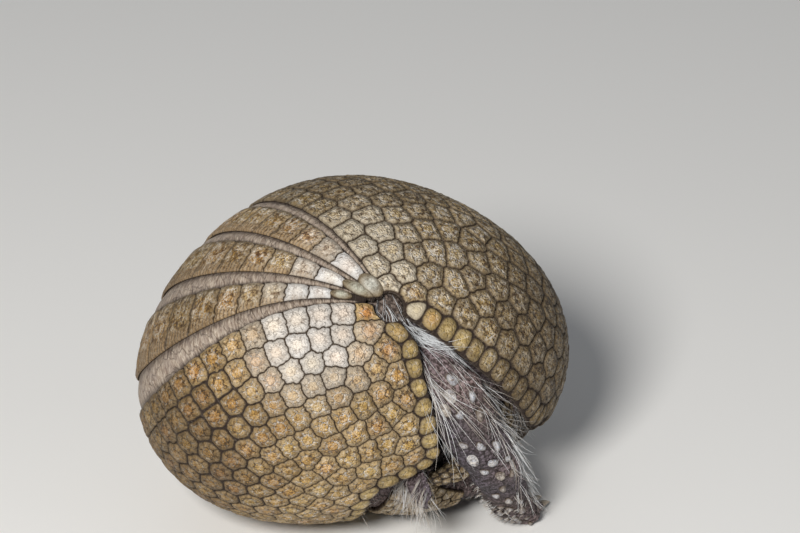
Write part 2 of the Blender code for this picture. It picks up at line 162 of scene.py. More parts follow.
# Colours of the horn
OCHRE = np.array([0.56, 0.385, 0.165])
TAN = np.array([0.49, 0.375, 0.215])
ORANGE = np.array([0.58, 0.255, 0.06])
GOLD = np.array([0.64, 0.42, 0.115])
CREAM = np.array([0.835, 0.85, 0.86])
RUMP_CREAM = np.array([0.94, 0.875, 0.73])
OLIVE = np.array([0.30, 0.225, 0.11])
UMBER = np.array([0.165, 0.118, 0.066])
YELLOW = np.array([0.34, 0.255, 0.10])
PALE_GREEN = np.array([0.42, 0.405, 0.30])
TIP_RIM_TONE = np.array([0.42, 0.34, 0.24])
BAND_TONE = 0.80
# Places where the horn differs, and places of painted shade and painted light, alike on both flanks: angle,
# latitude, reach in mm, strength
PALE_PLACES = (
    (174.0, 63.0, 13.0, 1.2),
    (200.0, 64.0, 27.0, 1.0),
    (158.0, 72.0, 22.0, 1.0),
    (108.0, 64.0, 21.0, 0.75),
    (88.0, 80.0, 10.0, 0.8),
    (357.0, 85.0, 5.5, 1.3),
)
GOLD_PLACES = (
    (202.0, 81.8, 6.0, 1.3),
    (250.0, 77.0, 11.0, 0.6),
    (352.0, 77.6, 3.6, 0.9),
    (50.0, 81.5, 5.0, 0.5),
    (200.0, 30.0, 20.0, 0.5),
)
# painted shade, which darkens the scutes over these places
PAINTED_SHADE_PLACES = (
    (96.0, 17.0, 46.0, 0.65),
    (0.0, 20.0, 50.0, 1.02),
    (340.0, 36.0, 22.0, 0.98),
    (214.0, 8.0, 38.0, 1.00),
    (172.0, 10.0, 42.0, 0.62),
    (225.0, 38.0, 16.0, 0.24),
    (2.0, 70.0, 16.0, 0.20),
)
# painted light, which lifts the scutes in this place
PAINTED_LIGHT_PLACES = ((202.0, 34.0, 14.0, 0.16),)
LACE_PLACES = ((228.0, 50.0, 22.0, 1.0), (60.0, 66.0, 18.0, 0.6), (112.0, 70.0, 10.0, 0.7))
GAPING_PLACES = ((213.0, 27.0, 17.0, 0.24), (228.0, 6.0, 24.0, 0.18))

# Materials
# horn: name, stretch of the tubercles, strength of the furrows, strength of the mottling, width of the suture
SHIELD_HORN = ("shield_horn", (1.2, 1.2, 1.2), 1.0, 0.64, 0.42)
RUMP_HORN = ("rump_horn", (1.1, 1.1, 1.1), 0.90, 1.0, 0.60)
BAND_HORN = ("band_horn", (1.15, 0.80, 1.0), 0.25, 1.05, 0.42)
TUBERCLE_SCALE = 0.86
# Colours of the horn's details, from the flecks down to the sutures
FLECK_DARK = (0.26, 0.18, 0.13)
FLECK_LIGHT = (0.86, 0.78, 0.67)
NET_DARK = (0.075, 0.042, 0.020)
NET_PALE = (0.78, 0.72, 0.64)
FURROW_DARK = (0.085, 0.048, 0.024)
FURROW_PALE = (0.86, 0.80, 0.73)
TOOTH_DARK = (0.10, 0.055, 0.024)
TOOTH_TAN = (0.42, 0.275, 0.130)
TOOTH_PALE = (0.62, 0.51, 0.38)
PIT_BROWN = (0.065, 0.036, 0.018)
SUTURE_BLACK = (0.030, 0.019, 0.011)
# painted shade on the domed sides of a scute
DOME_SHADE = (0.13, 0.085, 0.045)
HORN_BUMP = 0.00085
# Colours of the strips that slide under the plate in front
STRIP_DARK = (0.20, 0.140, 0.100)
STRIP_LIGHT = (0.50, 0.415, 0.33)
STRIP_FLECK_DARK = (0.085, 0.052, 0.036)
STRIP_FLECK_LIGHT = (0.64, 0.56, 0.47)
STRIP_GREY = (0.235, 0.185, 0.165)
# painted shade in the strips' folds
STRIP_FOLD_SHADE = (0.075, 0.048, 0.036)
# the dark of the sutures and hidden parts, and the painted shade by the strips' edges
STRIP_JOINT_AND_SHADE = (0.030, 0.019, 0.014)
STRIP_BUMP = 0.0010

# Flesh: one skin over the trunk, head, ears and limbs
TRUNK_DEPTH = 4.3
FLANK_PATCH_DEPTH = 3.3
POUCH_CENTRE = (315.0, -15.0)
POUCH_REACH = (26.0, 30.0)
POUCH_DEPTH = (12.0, 15.0)
POUCH_FADE = (84.0, 14.0)
OPENING_ANGLE = 300.0
HIDDEN_CUT = -8.0
SKIN_STEP = 0.8
FIELD_STRIDE = 4
FIELD_PARTS = 8
SKIN_INSET = 0.15
SKIN_BOX = ((-48.0, -58.0, -1.6), (78.0, 62.0, 104.0))

# Head, in the ball's frame: the axis runs from the nape to the tip of the snout
NAPE = (-5.0, 0.0, -38.6)
SNOUT = (-15.0, 62.0, -39.0)
# share of the head's length, half width, height above the axis, depth below it
HEAD_PROFILE = np.array(
    [
        (-0.30, 12.5, 11.0, 10.0),
        (-0.16, 13.5, 11.5, 11.0),
        (0.00, 15.0, 12.5, 12.0),
        (0.14, 17.2, 13.4, 13.0),
        (0.28, 17.6, 13.6, 13.2),
        (0.42, 15.6, 12.8, 12.0),
        (0.54, 12.2, 10.8, 9.8),
        (0.66, 9.2, 8.2, 7.6),
        (0.78, 7.4, 6.6, 6.0),
        (0.90, 6.0, 5.4, 5.0),
        (0.975, 4.9, 4.4, 4.2),
        (1.00, 4.2, 3.8, 3.6),
    ]
)
EYE_PLACE = 0.47
EYE_ANGLE = 74.0
EYE_RADIUS = 3.1
EYE_SUNK = 1.5
LID_THICKNESS = 0.75
# half sizes along the head, along the lids' height and out of the eye
SOCKET_SIZES = (3.7, 3.3, 3.4)
# half sizes along the head, across it and up
NOSTRIL_SIZES = (2.2, 0.75, 0.95)
MOUTH_PLACES = (0.50, 0.62, 0.76, 0.88, 0.985)
MOUTH_ANGLE = 118.0
MOUTH_RADIUS = 0.45
EARS = {
    "left": (0.17, 74.0, (12.5, 8.0, -15.0), (0.0, 1.0, 0.0)),
    "right": (0.22, -106.0, (-3.0, 18.0, 2.5), (-1.0, 0.0, 0.0)),
}
EAR_HALF_WIDTH = 7.4
EAR_CUP = 2.6
EAR_STANDOFF = 2.4
EAR_THICKNESS = 1.5
EAR_SWELL = 0.45

# Tail, in the ball's frame: flank offset, angle, distance from the flank axis, half width, half height
TAIL_RINGS = (
    (6.0, 350.0, 49.0, 10.5, 7.5),
    (7.0, 337.0, 53.5, 9.8, 7.0),
    (8.2, 322.0, 55.5, 7.2, 5.7),
    (10.6, 309.0, 54.8, 5.2, 4.2),
    (12.2, 298.5, 53.2, 2.8, 2.4),
    (12.6, 295.5, 52.6, 1.3, 1.1),
)

# Limbs, from the ball's centre with +Z up: x, y, z, half width, half thickness
LIMB_RINGS = {
    "foreleg_left": (
        (22.0, -33.0, 22.0, 6.0, 6.0),
        (28.4, -40.6, 17.4, 7.4, 6.6),
        (35.6, -42.2, 8.0, 9.6, 6.8),
        (40.0, -42.3, -3.2, 10.3, 6.6),
        (45.0, -40.0, -14.0, 9.8, 6.3),
        (49.6, -34.6, -26.0, 8.6, 5.8),
        (53.0, -28.6, -38.0, 7.8, 5.4),
        (55.4, -23.0, -47.0, 7.8, 5.0),
        (57.6, -17.0, -53.6, 8.0, 4.3),
        (60.0, -11.5, -54.1, 7.0, 3.4),
    ),
    "foreleg_right": (
        (14.0, 18.0, -26.0, 9.0, 8.0),
        (17.5, 16.0, -37.0, 8.6, 7.6),
        (21.0, 13.0, -46.0, 7.8, 6.4),
        (25.0, 12.0, -51.6, 7.4, 5.4),
        (29.0, 12.3, -53.6, 7.4, 4.2),
        (33.0, 12.6, -54.1, 6.6, 3.4),
    ),
    "hindleg_right": (
        (31.0, 10.0, -28.0, 9.0, 8.0),
        (36.0, 5.0, -40.0, 8.2, 7.0),
        (40.0, 3.0, -48.0, 7.2, 6.0),
        (44.5, 3.4, -52.0, 7.0, 5.0),
        (48.0, 4.0, -53.7, 7.0, 4.0),
        (51.5, 4.6, -54.1, 6.6, 3.4),
    ),
}
TUCKED_HINDLEG_RINGS = (
    (26.0, 44.0, -9.0, 9.0, 6.5),
    (23.5, 38.0, -19.0, 8.2, 6.0),
    (21.5, 30.0, -25.0, 7.2, 5.0),
    (20.5, 21.0, -28.0, 6.8, 4.4),
    (20.0, 15.0, -29.5, 6.2, 3.2),
)
LIMBS = ("foreleg_left", "foreleg_right", "hindleg_right", "hindleg_left")
FLESH_NODES = ("trunk", "neck", "head", "ear_left", "ear_right", *LIMBS)
# count, half their spread across the foot, length and half thickness of the middle one
CLAW_SETS = {
    "foreleg_left": (4, 5.4, 12.0, 1.7),
    "foreleg_right": (4, 5.2, 12.0, 1.7),
    "hindleg_left": (5, 5.2, 6.4, 1.3),
    "hindleg_right": (5, 5.6, 6.4, 1.3),
}
CLAW_STANDOFF = 0.8
CLAW_DROOP = 0.15

# Colours of the bare skin
SKIN_BROWN = np.array([0.048, 0.031, 0.025])
SKIN_POLE = np.array([0.072, 0.050, 0.037])
SKIN_PURPLE = np.array([0.039, 0.030, 0.034])
SKIN_DARK = np.array([0.026, 0.019, 0.017])
SKIN_PINK = np.array([0.27, 0.175, 0.15])
# what the skin's colour is multiplied by in its dark and its light places
SKIN_DARKER = (0.38, 0.34, 0.34)
SKIN_LIGHTER = (3.4, 3.8, 4.3)
PEBBLE_SCALE = 0.68
SKIN_BUMP = 0.00050

# Eyelids
LID_SIDES = 56
LID_OPENING = (2.45, 1.40)
LID_EDGE_ANGLE = 104.0
# round the lid's section: share of the way from the opening to its edge in the socket, height over the
# eye, and how creased it is, which sets the painted shade in its creases
LID_SECTION = (
    (0.0, 0.08, 0.6),
    (0.0, 0.26, 0.4),
    (0.04, 0.44, 0.0),
    (0.10, 0.55, 0.0),
    (0.16, 0.56, 0.0),
    (0.22, 0.47, 0.9),
    (0.28, 0.58, 0.0),
    (0.36, 0.68, 0.0),
    (0.43, 0.59, 0.9),
    (0.50, 0.72, 0.0),
    (0.60, 0.86, 0.0),
    (0.75, 0.98, 0.2),
    (1.0, 1.00, 0.6),
    (1.0, 0.08, 0.6),
    (0.5, 0.08, 0.6),
)

# Claws and eyes
CLAW_SIDES = 14
CLAW_RINGS = 15
CLAW_ROOT = (0.20, 0.150, 0.105)
CLAW_TIP = (0.50, 0.41, 0.29)
CLAW_STREAK = (0.11, 0.080, 0.055)
CLAW_BUMP = 0.00014
EYE_SIDES = 40
EYE_RINGS = 24
IRIS_DARK = (0.016, 0.009, 0.005)
IRIS_LIGHT = (0.034, 0.018, 0.009)
PUPIL_BLACK = (0.002, 0.002, 0.002)
EYE_RIM = (0.05, 0.036, 0.030)

# Head shield, tail and the small scutes of the limbs
HEAD_SHIELD_RANGE = (0.19, 0.66)
HEAD_SHIELD_HALF_ANGLE = 62.0
HEAD_SHIELD_THICKNESS = 1.8
HEAD_SCUTE_STEP = 4.7
TAIL_THICKNESS = 1.1
TAIL_SIDES = 28

# Small scutes set in the skin of a limb: shares of its length at the first and past the last row, and the
# turns across each row
OVAL_ROWS = {
    "foreleg_left": (0.165, 0.90, (128.0, 100.0, 70.0)),
    "foreleg_right": (0.25, 0.88, (-150.0, -110.0, -70.0, -30.0)),
    "hindleg_right": (0.25, 0.88, (-150.0, -110.0, -70.0, -30.0)),
    "hindleg_left": (0.15, 0.88, (-140.0, -90.0, -40.0)),
}
# and in the cheeks: places along the head, turns round it
CHEEK_PLACES = (0.24, 0.31, 0.38, 0.56, 0.63, 0.70)
CHEEK_ANGLES = (78.0, 96.0, 114.0)
OVAL_PITCH = 6.6
OVAL_THICKNESS = 0.75
OVAL_PROUD = 0.38
OVAL_WHITE = np.array([0.66, 0.70, 0.80])
OVAL_BROWN = np.array([0.26, 0.205, 0.165])

# Hair: thin tapered bristles in tufts, each a closed body
HAIR_STEPS = 7
# side of the patch that each tuft has on the OFBake map
PATCH = 0.003
HAIR_WHITE = np.array([0.90, 0.92, 0.94])
HAIR_BUFF = np.array([0.42, 0.35, 0.28])
HAIR_DARK = np.array([0.085, 0.066, 0.055])
# painted shade at the roots of the hairs, near the skin
HAIR_ROOT_SHADE = (0.10, 0.08, 0.07)
# tufts: how steeply they rise, how far they spread, hairs in each, hair width, the two colours between
# which the hairs lie, and droop
FLANK_TUFTS = (0.06, 0.8, 5, 0.13, (HAIR_WHITE, HAIR_WHITE * 0.75), 0.0)
RIM_TUFTS = (0.09, 1.0, 4, 0.115, (HAIR_WHITE, HAIR_BUFF), 0.0)
BELLY_TUFTS = (0.35, 1.1, 4, 0.09, (HAIR_BUFF, HAIR_WHITE * 0.8), 0.04)
POLE_TUFTS = (0.12, 0.7, 2, 0.10, (HAIR_WHITE * 0.9, HAIR_DARK), 0.02)
LIMB_TUFTS = (0.12, 0.9, 3, 0.085, (HAIR_WHITE * 0.92, HAIR_BUFF), 0.0)
HEAD_TUFTS = (0.30, 0.5, 3, 0.065, (HAIR_BUFF, HAIR_WHITE * 0.8), 0.02)
FLANK_LENGTH = 25.0
RIM_LENGTH = 31.0
BELLY_LENGTH = 11.0
POLE_LENGTH = 14.0

# Stage, in metres: the camera looks along +Y, and aims this far right of the ball's centre and above it
CAMERA_ELEVATION = 28.0
CAMERA_DISTANCE = 1.3
VIEW_WIDTH = 0.276
SENSOR_WIDTH = 36.0
AIM_RIGHT = 0.0171
AIM_UP = 0.0297
FLOOR_SIDE = 3.0
FLOOR_DROP = 0.0002
LIGHT_AIM = (0.0, 0.0, 0.05)
# name, place, width, power in watts, colour
LIGHTS = (
    ("key", (-0.36, -1.16, 0.96), 0.42, 25.0, (1.0, 0.985, 0.955)),
    ("fill", (1.2, -0.5, 0.8), 1.0, 1.0, (0.93, 0.96, 1.0)),
    ("back", (-0.2, 1.2, 1.0), 1.2, 1.0, (0.96, 0.98, 1.0)),
)
SKY_COLOUR = (0.90, 0.94, 1.0, 1.0)
SKY_STRENGTH = 0.16


def unit(vector):
    vector = np.asarray(vector, float)
    return vector / np.linalg.norm(vector, axis=-1, keepdims=True)


def smooth(share):
    """0 below 0, 1 above 1, and an S-curve in between."""
    share = np.clip(share, 0.0, 1.0)
    return share * share * (3.0 - 2.0 * share)


def ball_axes():
    """The ball's +X, +Y and +Z as columns, in the world's frame."""
    lift = math.radians(FLANK_LIFT)
    turn = math.radians(BALL_TURN)
    flank = np.array([0.0, -math.cos(lift), math.sin(lift)])
    side = np.array([1.0, 0.0, 0.0])
    back = np.array([0.0, math.sin(lift), math.cos(lift)])
    flank_turned = flank * math.cos(turn) + side * math.sin(turn)
    side_turned = side * math.cos(turn) - flank * math.sin(turn)
    return np.column_stack([flank_turned, side_turned, back])


AXES = ball_axes()


def to_world(points):
    """Ball-frame millimetres to world millimetres."""
    return BALL_CENTRE + np.asarray(points) @ AXES.T


def to_ball(points):
    return (np.asarray(points) - BALL_CENTRE) @ AXES


def direction(angle, latitude):
    """The unit vector to a place on the ball."""
    theta = np.radians(angle)
    phi = np.radians(latitude)
    theta, phi = np.broadcast_arrays(theta, phi)
    return np.stack([np.sin(phi), np.cos(phi) * np.cos(theta), np.cos(phi) * np.sin(theta)], axis=-1)


def angle_of(directions, middle):
    """The angle round the flank axis, within half a turn of the middle one."""
    found = np.degrees(np.arctan2(directions[..., 2], directions[..., 1]))
    return middle + (found - middle + 180.0) % 360.0 - 180.0


def latitude_of(directions):
    return np.degrees(np.arcsin(np.clip(directions[..., 0], -1.0, 1.0)))


def ball_radius(directions):
    x, y, z = directions[..., 0], directions[..., 1], directions[..., 2]
    slant = math.radians(LONG_AXIS_ANGLE)
    along = y * math.cos(slant) + z * math.sin(slant)
    across = z * math.cos(slant) - y * math.sin(slant)
    radius = ((x / HALF_WIDTH) ** 2 + (along / LONG_RADIUS) ** 2 + (across / SHORT_RADIUS) ** 2) ** -0.5
    bulge = np.cos(3.0 * (np.arctan2(z, y) - math.radians(EGG_ANGLE)))
    return radius * (1.0 + EGG_SHARE * (y * y + z * z) * bulge)


def on_ball(directions, depth=0.0):
    """Points of the shell's surface, or this far below it."""
    return (ball_radius(directions) - depth)[..., None] * directions


def onto_ball(points, depth):
    """Ball-frame points moved along their radius to this depth below the shell's surface."""
    return on_ball(unit(points), depth)


def line_angle(line, latitude):
    """The angle of a line across the shell where it crosses this latitude."""
    at_flank, gain = line
    return at_flank + gain * np.cos(np.radians(latitude)) ** 2


def line_direction(line, latitude):
    return direction(line_angle(line, latitude), latitude)


def rim_angle(line, notch, latitude):
    """The angle of a free rim, with its notch."""
    depth, full, none = notch
    return line_angle(line, latitude) - depth * smooth((none - np.abs(latitude)) / (none - full))


def front_rim(latitude):
    """The free rim of the front shield, which bulges out a little near each flank."""
    away = (np.abs(latitude) - FRONT_RIM_BULGE_AT) / FRONT_RIM_BULGE_SPAN
    bulge = FRONT_RIM_BULGE * np.exp(-(away**2))
    radius = MEAN_RADIUS * np.cos(np.radians(np.minimum(np.abs(latitude), 86.0)))
    return rim_angle(FRONT_SHIELD_RIM, HEAD_NOTCH, latitude) + np.degrees(bulge / radius)


# ---- numbers that stand for chance, the same in each run ----


def hashed(x, y, z, seed):
    """A number from 0 to 1 for each lattice point."""
    mixed = (
        x.astype(np.int64) * 374761393
        + y.astype(np.int64) * 668265263
        + z.astype(np.int64) * 1103515245
        + seed * 974711
    ) & 0x7FFFFFFF
    mixed = (mixed ^ (mixed >> 13)) * 1274126177 & 0x7FFFFFFF
    mixed = mixed ^ (mixed >> 16)
    return (mixed & 0xFFFFF) / float(0xFFFFF)


def lumps(points, size, seed):
    """Smooth noise from -1 to 1 whose lumps are about this many millimetres across."""
    scaled = np.asarray(points, float) / size
    low = np.floor(scaled)
    share = smooth(scaled - low)
    total = np.zeros(len(scaled))
    for corner in range(8):
        step = np.array([corner & 1, (corner >> 1) & 1, (corner >> 2) & 1])
        weight = np.prod(np.where(step, share, 1.0 - share), axis=1)
        cell = low + step
        total += weight * hashed(cell[:, 0], cell[:, 1], cell[:, 2], seed)
    return total * 2.0 - 1.0


# ---- making objects ----


def new_piece(name, world_points, faces, materials, material_index=None):
    """A mesh object from world points in millimetres, pressed flat where it would reach under the floor."""
    points = np.array(world_points, float)
    points[:, 2] = np.maximum(points[:, 2], 0.0)
    mesh = bpy.data.meshes.new(name)
    mesh.from_pydata((points * MM).tolist(), [], faces)
    for material in materials:
        mesh.materials.append(material)
    if material_index is not None:
        mesh.polygons.foreach_set("material_index", np.asarray(material_index, np.int32))
    mesh.shade_smooth()
    piece = bpy.data.objects.new(name, mesh)
    bpy.context.scene.collection.objects.link(piece)
    return piece


def add_number(piece, name, values):
    layer = piece.data.attributes.new(name, "FLOAT", "POINT")
    layer.data.foreach_set("value", np.asarray(values, np.float32))


def add_vector(piece, name, values):
    layer = piece.data.attributes.new(name, "FLOAT_VECTOR", "POINT")
    layer.data.foreach_set("vector", np.asarray(values, np.float32).ravel())


def add_colour(piece, name, colours):
    layer = piece.data.color_attributes.new(name, "FLOAT_COLOR", "POINT")
    four = np.ones((len(colours), 4), np.float32)
    four[:, :3] = colours
    layer.data.foreach_set("color", four.ravel())


# ---- outlines and cells of the plates ----


def plate_sides(low_line, high_line, end):
    """The four sides of a plate as lines of directions, every half degree."""
    run = np.arange(-end, end + 0.25, 0.5)
    low = direction(low_line(run), run)
    high = direction(high_line(run), run)
    sides = {"low": low, "high": high}
    for name, latitude in (("left", end), ("right", -end)):
        across = np.linspace(low_line(latitude), high_line(latitude), 60)
        sides[name] = direction(across, latitude)
    return sides


def nearest_on(line, point):
    """The point of a line of directions nearest to this direction, between its stations too."""
    best = int(np.argmax(line @ point))
    found = line[best]
    nearest = -1.0
    for other in (best - 1, best + 1):
        if not 0 <= other < len(line):
            continue
        step = line[other] - line[best]
        share = np.clip((point - line[best]) @ step / (step @ step), 0.0, 1.0)
        candidate = unit(line[best] + step * share)
        if candidate @ point > nearest:
            nearest = candidate @ point
            found = candidate
    return found


def inside_plate(directions, low_line, high_line, end):
    latitude = latitude_of(directions)
    middle = (low_line(0.0) + high_line(0.0)) / 2.0
    angle = angle_of(directions, middle)
    return (angle > low_line(latitude)) & (angle < high_line(latitude)) & (np.abs(latitude) < end)


def row_of_seeds(line, towards, distance, shrink, feet):
    """Seeds beside a line. feet are places along it, which may run on past the flanks."""
    feet = np.asarray(feet, float)
    foot = line_direction(line, feet)
    theta = np.radians(line_angle(line, feet))
    away = towards * np.stack([np.zeros(len(feet)), -np.sin(theta), np.cos(theta)], axis=-1)
    reach = distance * shrink(np.abs(feet)) / ball_radius(foot)
    return np.cos(reach)[:, None] * foot + np.sin(reach)[:, None] * away


def evenly(spacing, distance, staggered):
    """Places along a row, in degrees, this many millimetres apart once the row is at its distance."""
    step = math.degrees(spacing / (MEAN_RADIUS * max(0.25, math.cos(distance / MEAN_RADIUS))))
    first = 0.0 if staggered else step / 2.0
    right = np.arange(first, ROW_END, step)
    left = -right[right > 0.0]
    return np.concatenate([left[::-1], right])


def rim_seeds(side, other_side, inset, spacing):
    """Seeds along a free rim, this far inside it."""
    lengths = np.linalg.norm(np.diff(on_ball(side), axis=0), axis=1)
    run = np.concatenate([[0.0], np.cumsum(lengths)])
    count = int(round(run[-1] / spacing))
    places = (np.arange(count) + 0.5) * run[-1] / count
    found = np.stack([np.interp(places, run, side[:, k]) for k in range(3)], axis=1)
    found = unit(found)
    inwards = np.stack([nearest_on(other_side, point) for point in found])
    tangent = unit(np.gradient(found, axis=0))
    normal = np.cross(tangent, found)
    flip = np.sign(np.sum(normal * (inwards - found), axis=1))
    normal = unit(normal) * np.where(flip == 0.0, 1.0, flip)[:, None]
    return unit(found + normal * (inset / ball_radius(found))[:, None])


def ball_samples(count):
    """Directions spread evenly over the ball."""
    k = np.arange(count) + 0.5
    x = 1.0 - 2.0 * k / count
    turn = math.pi * (1.0 + math.sqrt(5.0)) * k
    flat = np.sqrt(1.0 - x * x)
    return np.stack([x, flat * np.cos(turn), flat * np.sin(turn)], axis=-1)


def keep_apart(kept, candidates, least):
    """Adds the candidates that stay this many millimetres clear of those already kept."""
    kept = list(kept)
    table = np.array(kept)
    for candidate in candidates:
        gap = math.acos(min(1.0, float(np.max(table @ candidate))))
        if gap * float(ball_radius(candidate)) > least:
            kept.append(candidate)
            table = np.array(kept)
    return kept


def relax(seeds, fixed, samples):
    """Evens out the seeds after the first fixed ones."""
    seeds = np.array(seeds)
    for _ in range(RELAX_ROUNDS):
        owner = np.argmax(samples @ seeds.T, axis=1)
        for k in range(fixed, len(seeds)):
            mine = samples[owner == k]
            if len(mine):
                seeds[k] = unit(0.4 * seeds[k] + 0.6 * unit(mine.mean(axis=0)))
    return seeds


def voronoi_cell(seed, others):
    """Corners of the seed's cell, as directions, and which seed lies across the side after each."""
    first = unit(np.cross(seed, [0.31, 0.53, 0.79]))
    second = np.cross(seed, first)
    near = np.argsort(-(others @ seed))[:CELL_NEIGHBOURS]
    corners = [CELL_REACH * np.array(c) for c in ((-1.0, -1.0), (1.0, -1.0), (1.0, 1.0), (-1.0, 1.0))]
    tags = [-1, -1, -1, -1]
    for index in near:
        normal = seed - others[index]
        if normal @ normal < 1e-10:
            continue
        level = [normal @ seed + corner @ np.array([normal @ first, normal @ second]) for corner in corners]
        if min(level) >= 0.0:
            continue
        new_corners = []
        new_tags = []
        for k, corner in enumerate(corners):
            after = (k + 1) % len(corners)
            if level[k] >= 0.0:
                new_corners.append(corner)
                new_tags.append(tags[k])
            if (level[k] >= 0.0) != (level[after] >= 0.0):
                share = level[k] / (level[k] - level[after])
                new_corners.append(corner + (corners[after] - corner) * share)
                new_tags.append(index if level[k] >= 0.0 else tags[k])
        corners, tags = new_corners, new_tags
    return [unit(seed + first * c[0] + second * c[1]) for c in corners], tags


def suture(start, end, jag, key):
    """Points from start up to end of the line between two scutes, jagged by this many millimetres."""
    length = float(np.linalg.norm(on_ball(end) - on_ball(start)))
    count = max(1, int(round(length / SCUTE_STEP)))
    share = np.arange(count) / count
    points = start + (end - start) * share[:, None]
    if jag > 0.0 and count > 2:
        chance = np.random.default_rng(key)
        offset = chance.uniform(-1.0, 1.0, count) * jag * np.sin(math.pi * share) ** 0.5 / MEAN_RADIUS
        across = unit(np.cross(end - start, start))
        points = points + across * offset[:, None]
    return unit(points)


class Plate:
    """One shell plate: its outline, the cells of its scutes and how its sides are finished.

    side_notch is how far the joints cut into each side. free_sides is how free each side's edge is.
    """

    def __init__(self, low_line, high_line, end, side_notch, free_sides, jag):
        self.low_line = low_line
        self.high_line = high_line
        self.end = end
        self.side_notch = side_notch
        self.free_sides = free_sides
        self.jag = jag
        self.sides = plate_sides(low_line, high_line, end)

    def inside(self, directions):
        return inside_plate(directions, self.low_line, self.high_line, self.end)

    def cells(self, seeds):
        """(outline as directions, which of its points are on a free edge, seed) of each scute."""
        ghosts = []
        ghost_sides = []
        for seed in seeds:
            for side, line in self.sides.items():
                foot = nearest_on(line, seed)
                if np.linalg.norm(on_ball(foot) - on_ball(seed)) < GHOST_REACH:
                    ghosts.append(unit(2.0 * foot - seed))
                    ghost_sides.append(side)
        everyone = np.concatenate([seeds, np.array(ghosts)])
        made = []
        for number, seed in enumerate(seeds):
            corners, tags = voronoi_cell(seed, everyone)
            outline, free = self.outline(number, corners, tags, ghost_sides, len(seeds))
            made.append((outline, free, seed))
        return made

    def snapped(self, point, tags, ghost_sides, real):
        for tag in tags:
            if tag >= real:
                point = nearest_on(self.sides[ghost_sides[tag - real]], point)
        return point

    def outline(self, number, corners, tags, ghost_sides, real):
        count = len(corners)
        moved = [self.snapped(corners[k], (tags[k - 1], tags[k]), ghost_sides, real) for k in range(count)]
        centre = unit(np.mean(moved, axis=0))
        pieces = []
        free = []
        for k in range(count):
            start, end, tag = moved[k], moved[(k + 1) % count], tags[k]
            if np.linalg.norm(end - start) < 2e-3:
                continue
            if 0 <= tag < real:
                low, high = sorted((number, tag))
                if number == low:
                    pieces.append(suture(start, end, self.jag, (low, high)))
                else:
                    back = suture(end, start, self.jag, (low, high))
                    pieces.append(np.concatenate([[start], back[:0:-1]]))
                free.append(np.zeros(len(pieces[-1])))
                continue
            side = ghost_sides[tag - real] if tag >= real else "left"
            points = suture(start, end, 0.0, None)
            line = self.sides[side]
            points = np.array([nearest_on(line, point) for point in points])
            share = np.arange(len(points)) / len(points)
            notch = self.side_notch.get(side, 0.4) * np.abs(2.0 * share - 1.0) ** 3.0 / MEAN_RADIUS
            pieces.append(unit(points + unit(centre - points) * notch[:, None]))
            free.append(np.full(len(points), self.free_sides.get(side, 0.0)))
        return np.concatenate(pieces), np.concatenate(free)


def round_off(loop, times):
    for _ in range(times):
        loop = (np.roll(loop, 1, axis=0) + 2.0 * loop + np.roll(loop, -1, axis=0)) / 4.0
    return loop


def tube_faces(rings, sides, base=0):
    """Quads between each ring of points and the next one."""
    k = np.arange(sides)
    after = (k + 1) % sides
    start = base + np.arange(rings - 1)[:, None] * sides
    quads = np.stack([start + k, start + after, start + sides + after, start + sides + k], axis=-1)
    return quads.reshape(-1, 4)


def fan_faces(sides, start, tip):
    """Triangles from the ring of points that begins at start to a tip."""
    k = np.arange(sides)
    return np.stack([start + k, start + (k + 1) % sides, np.full(sides, tip)], axis=1)


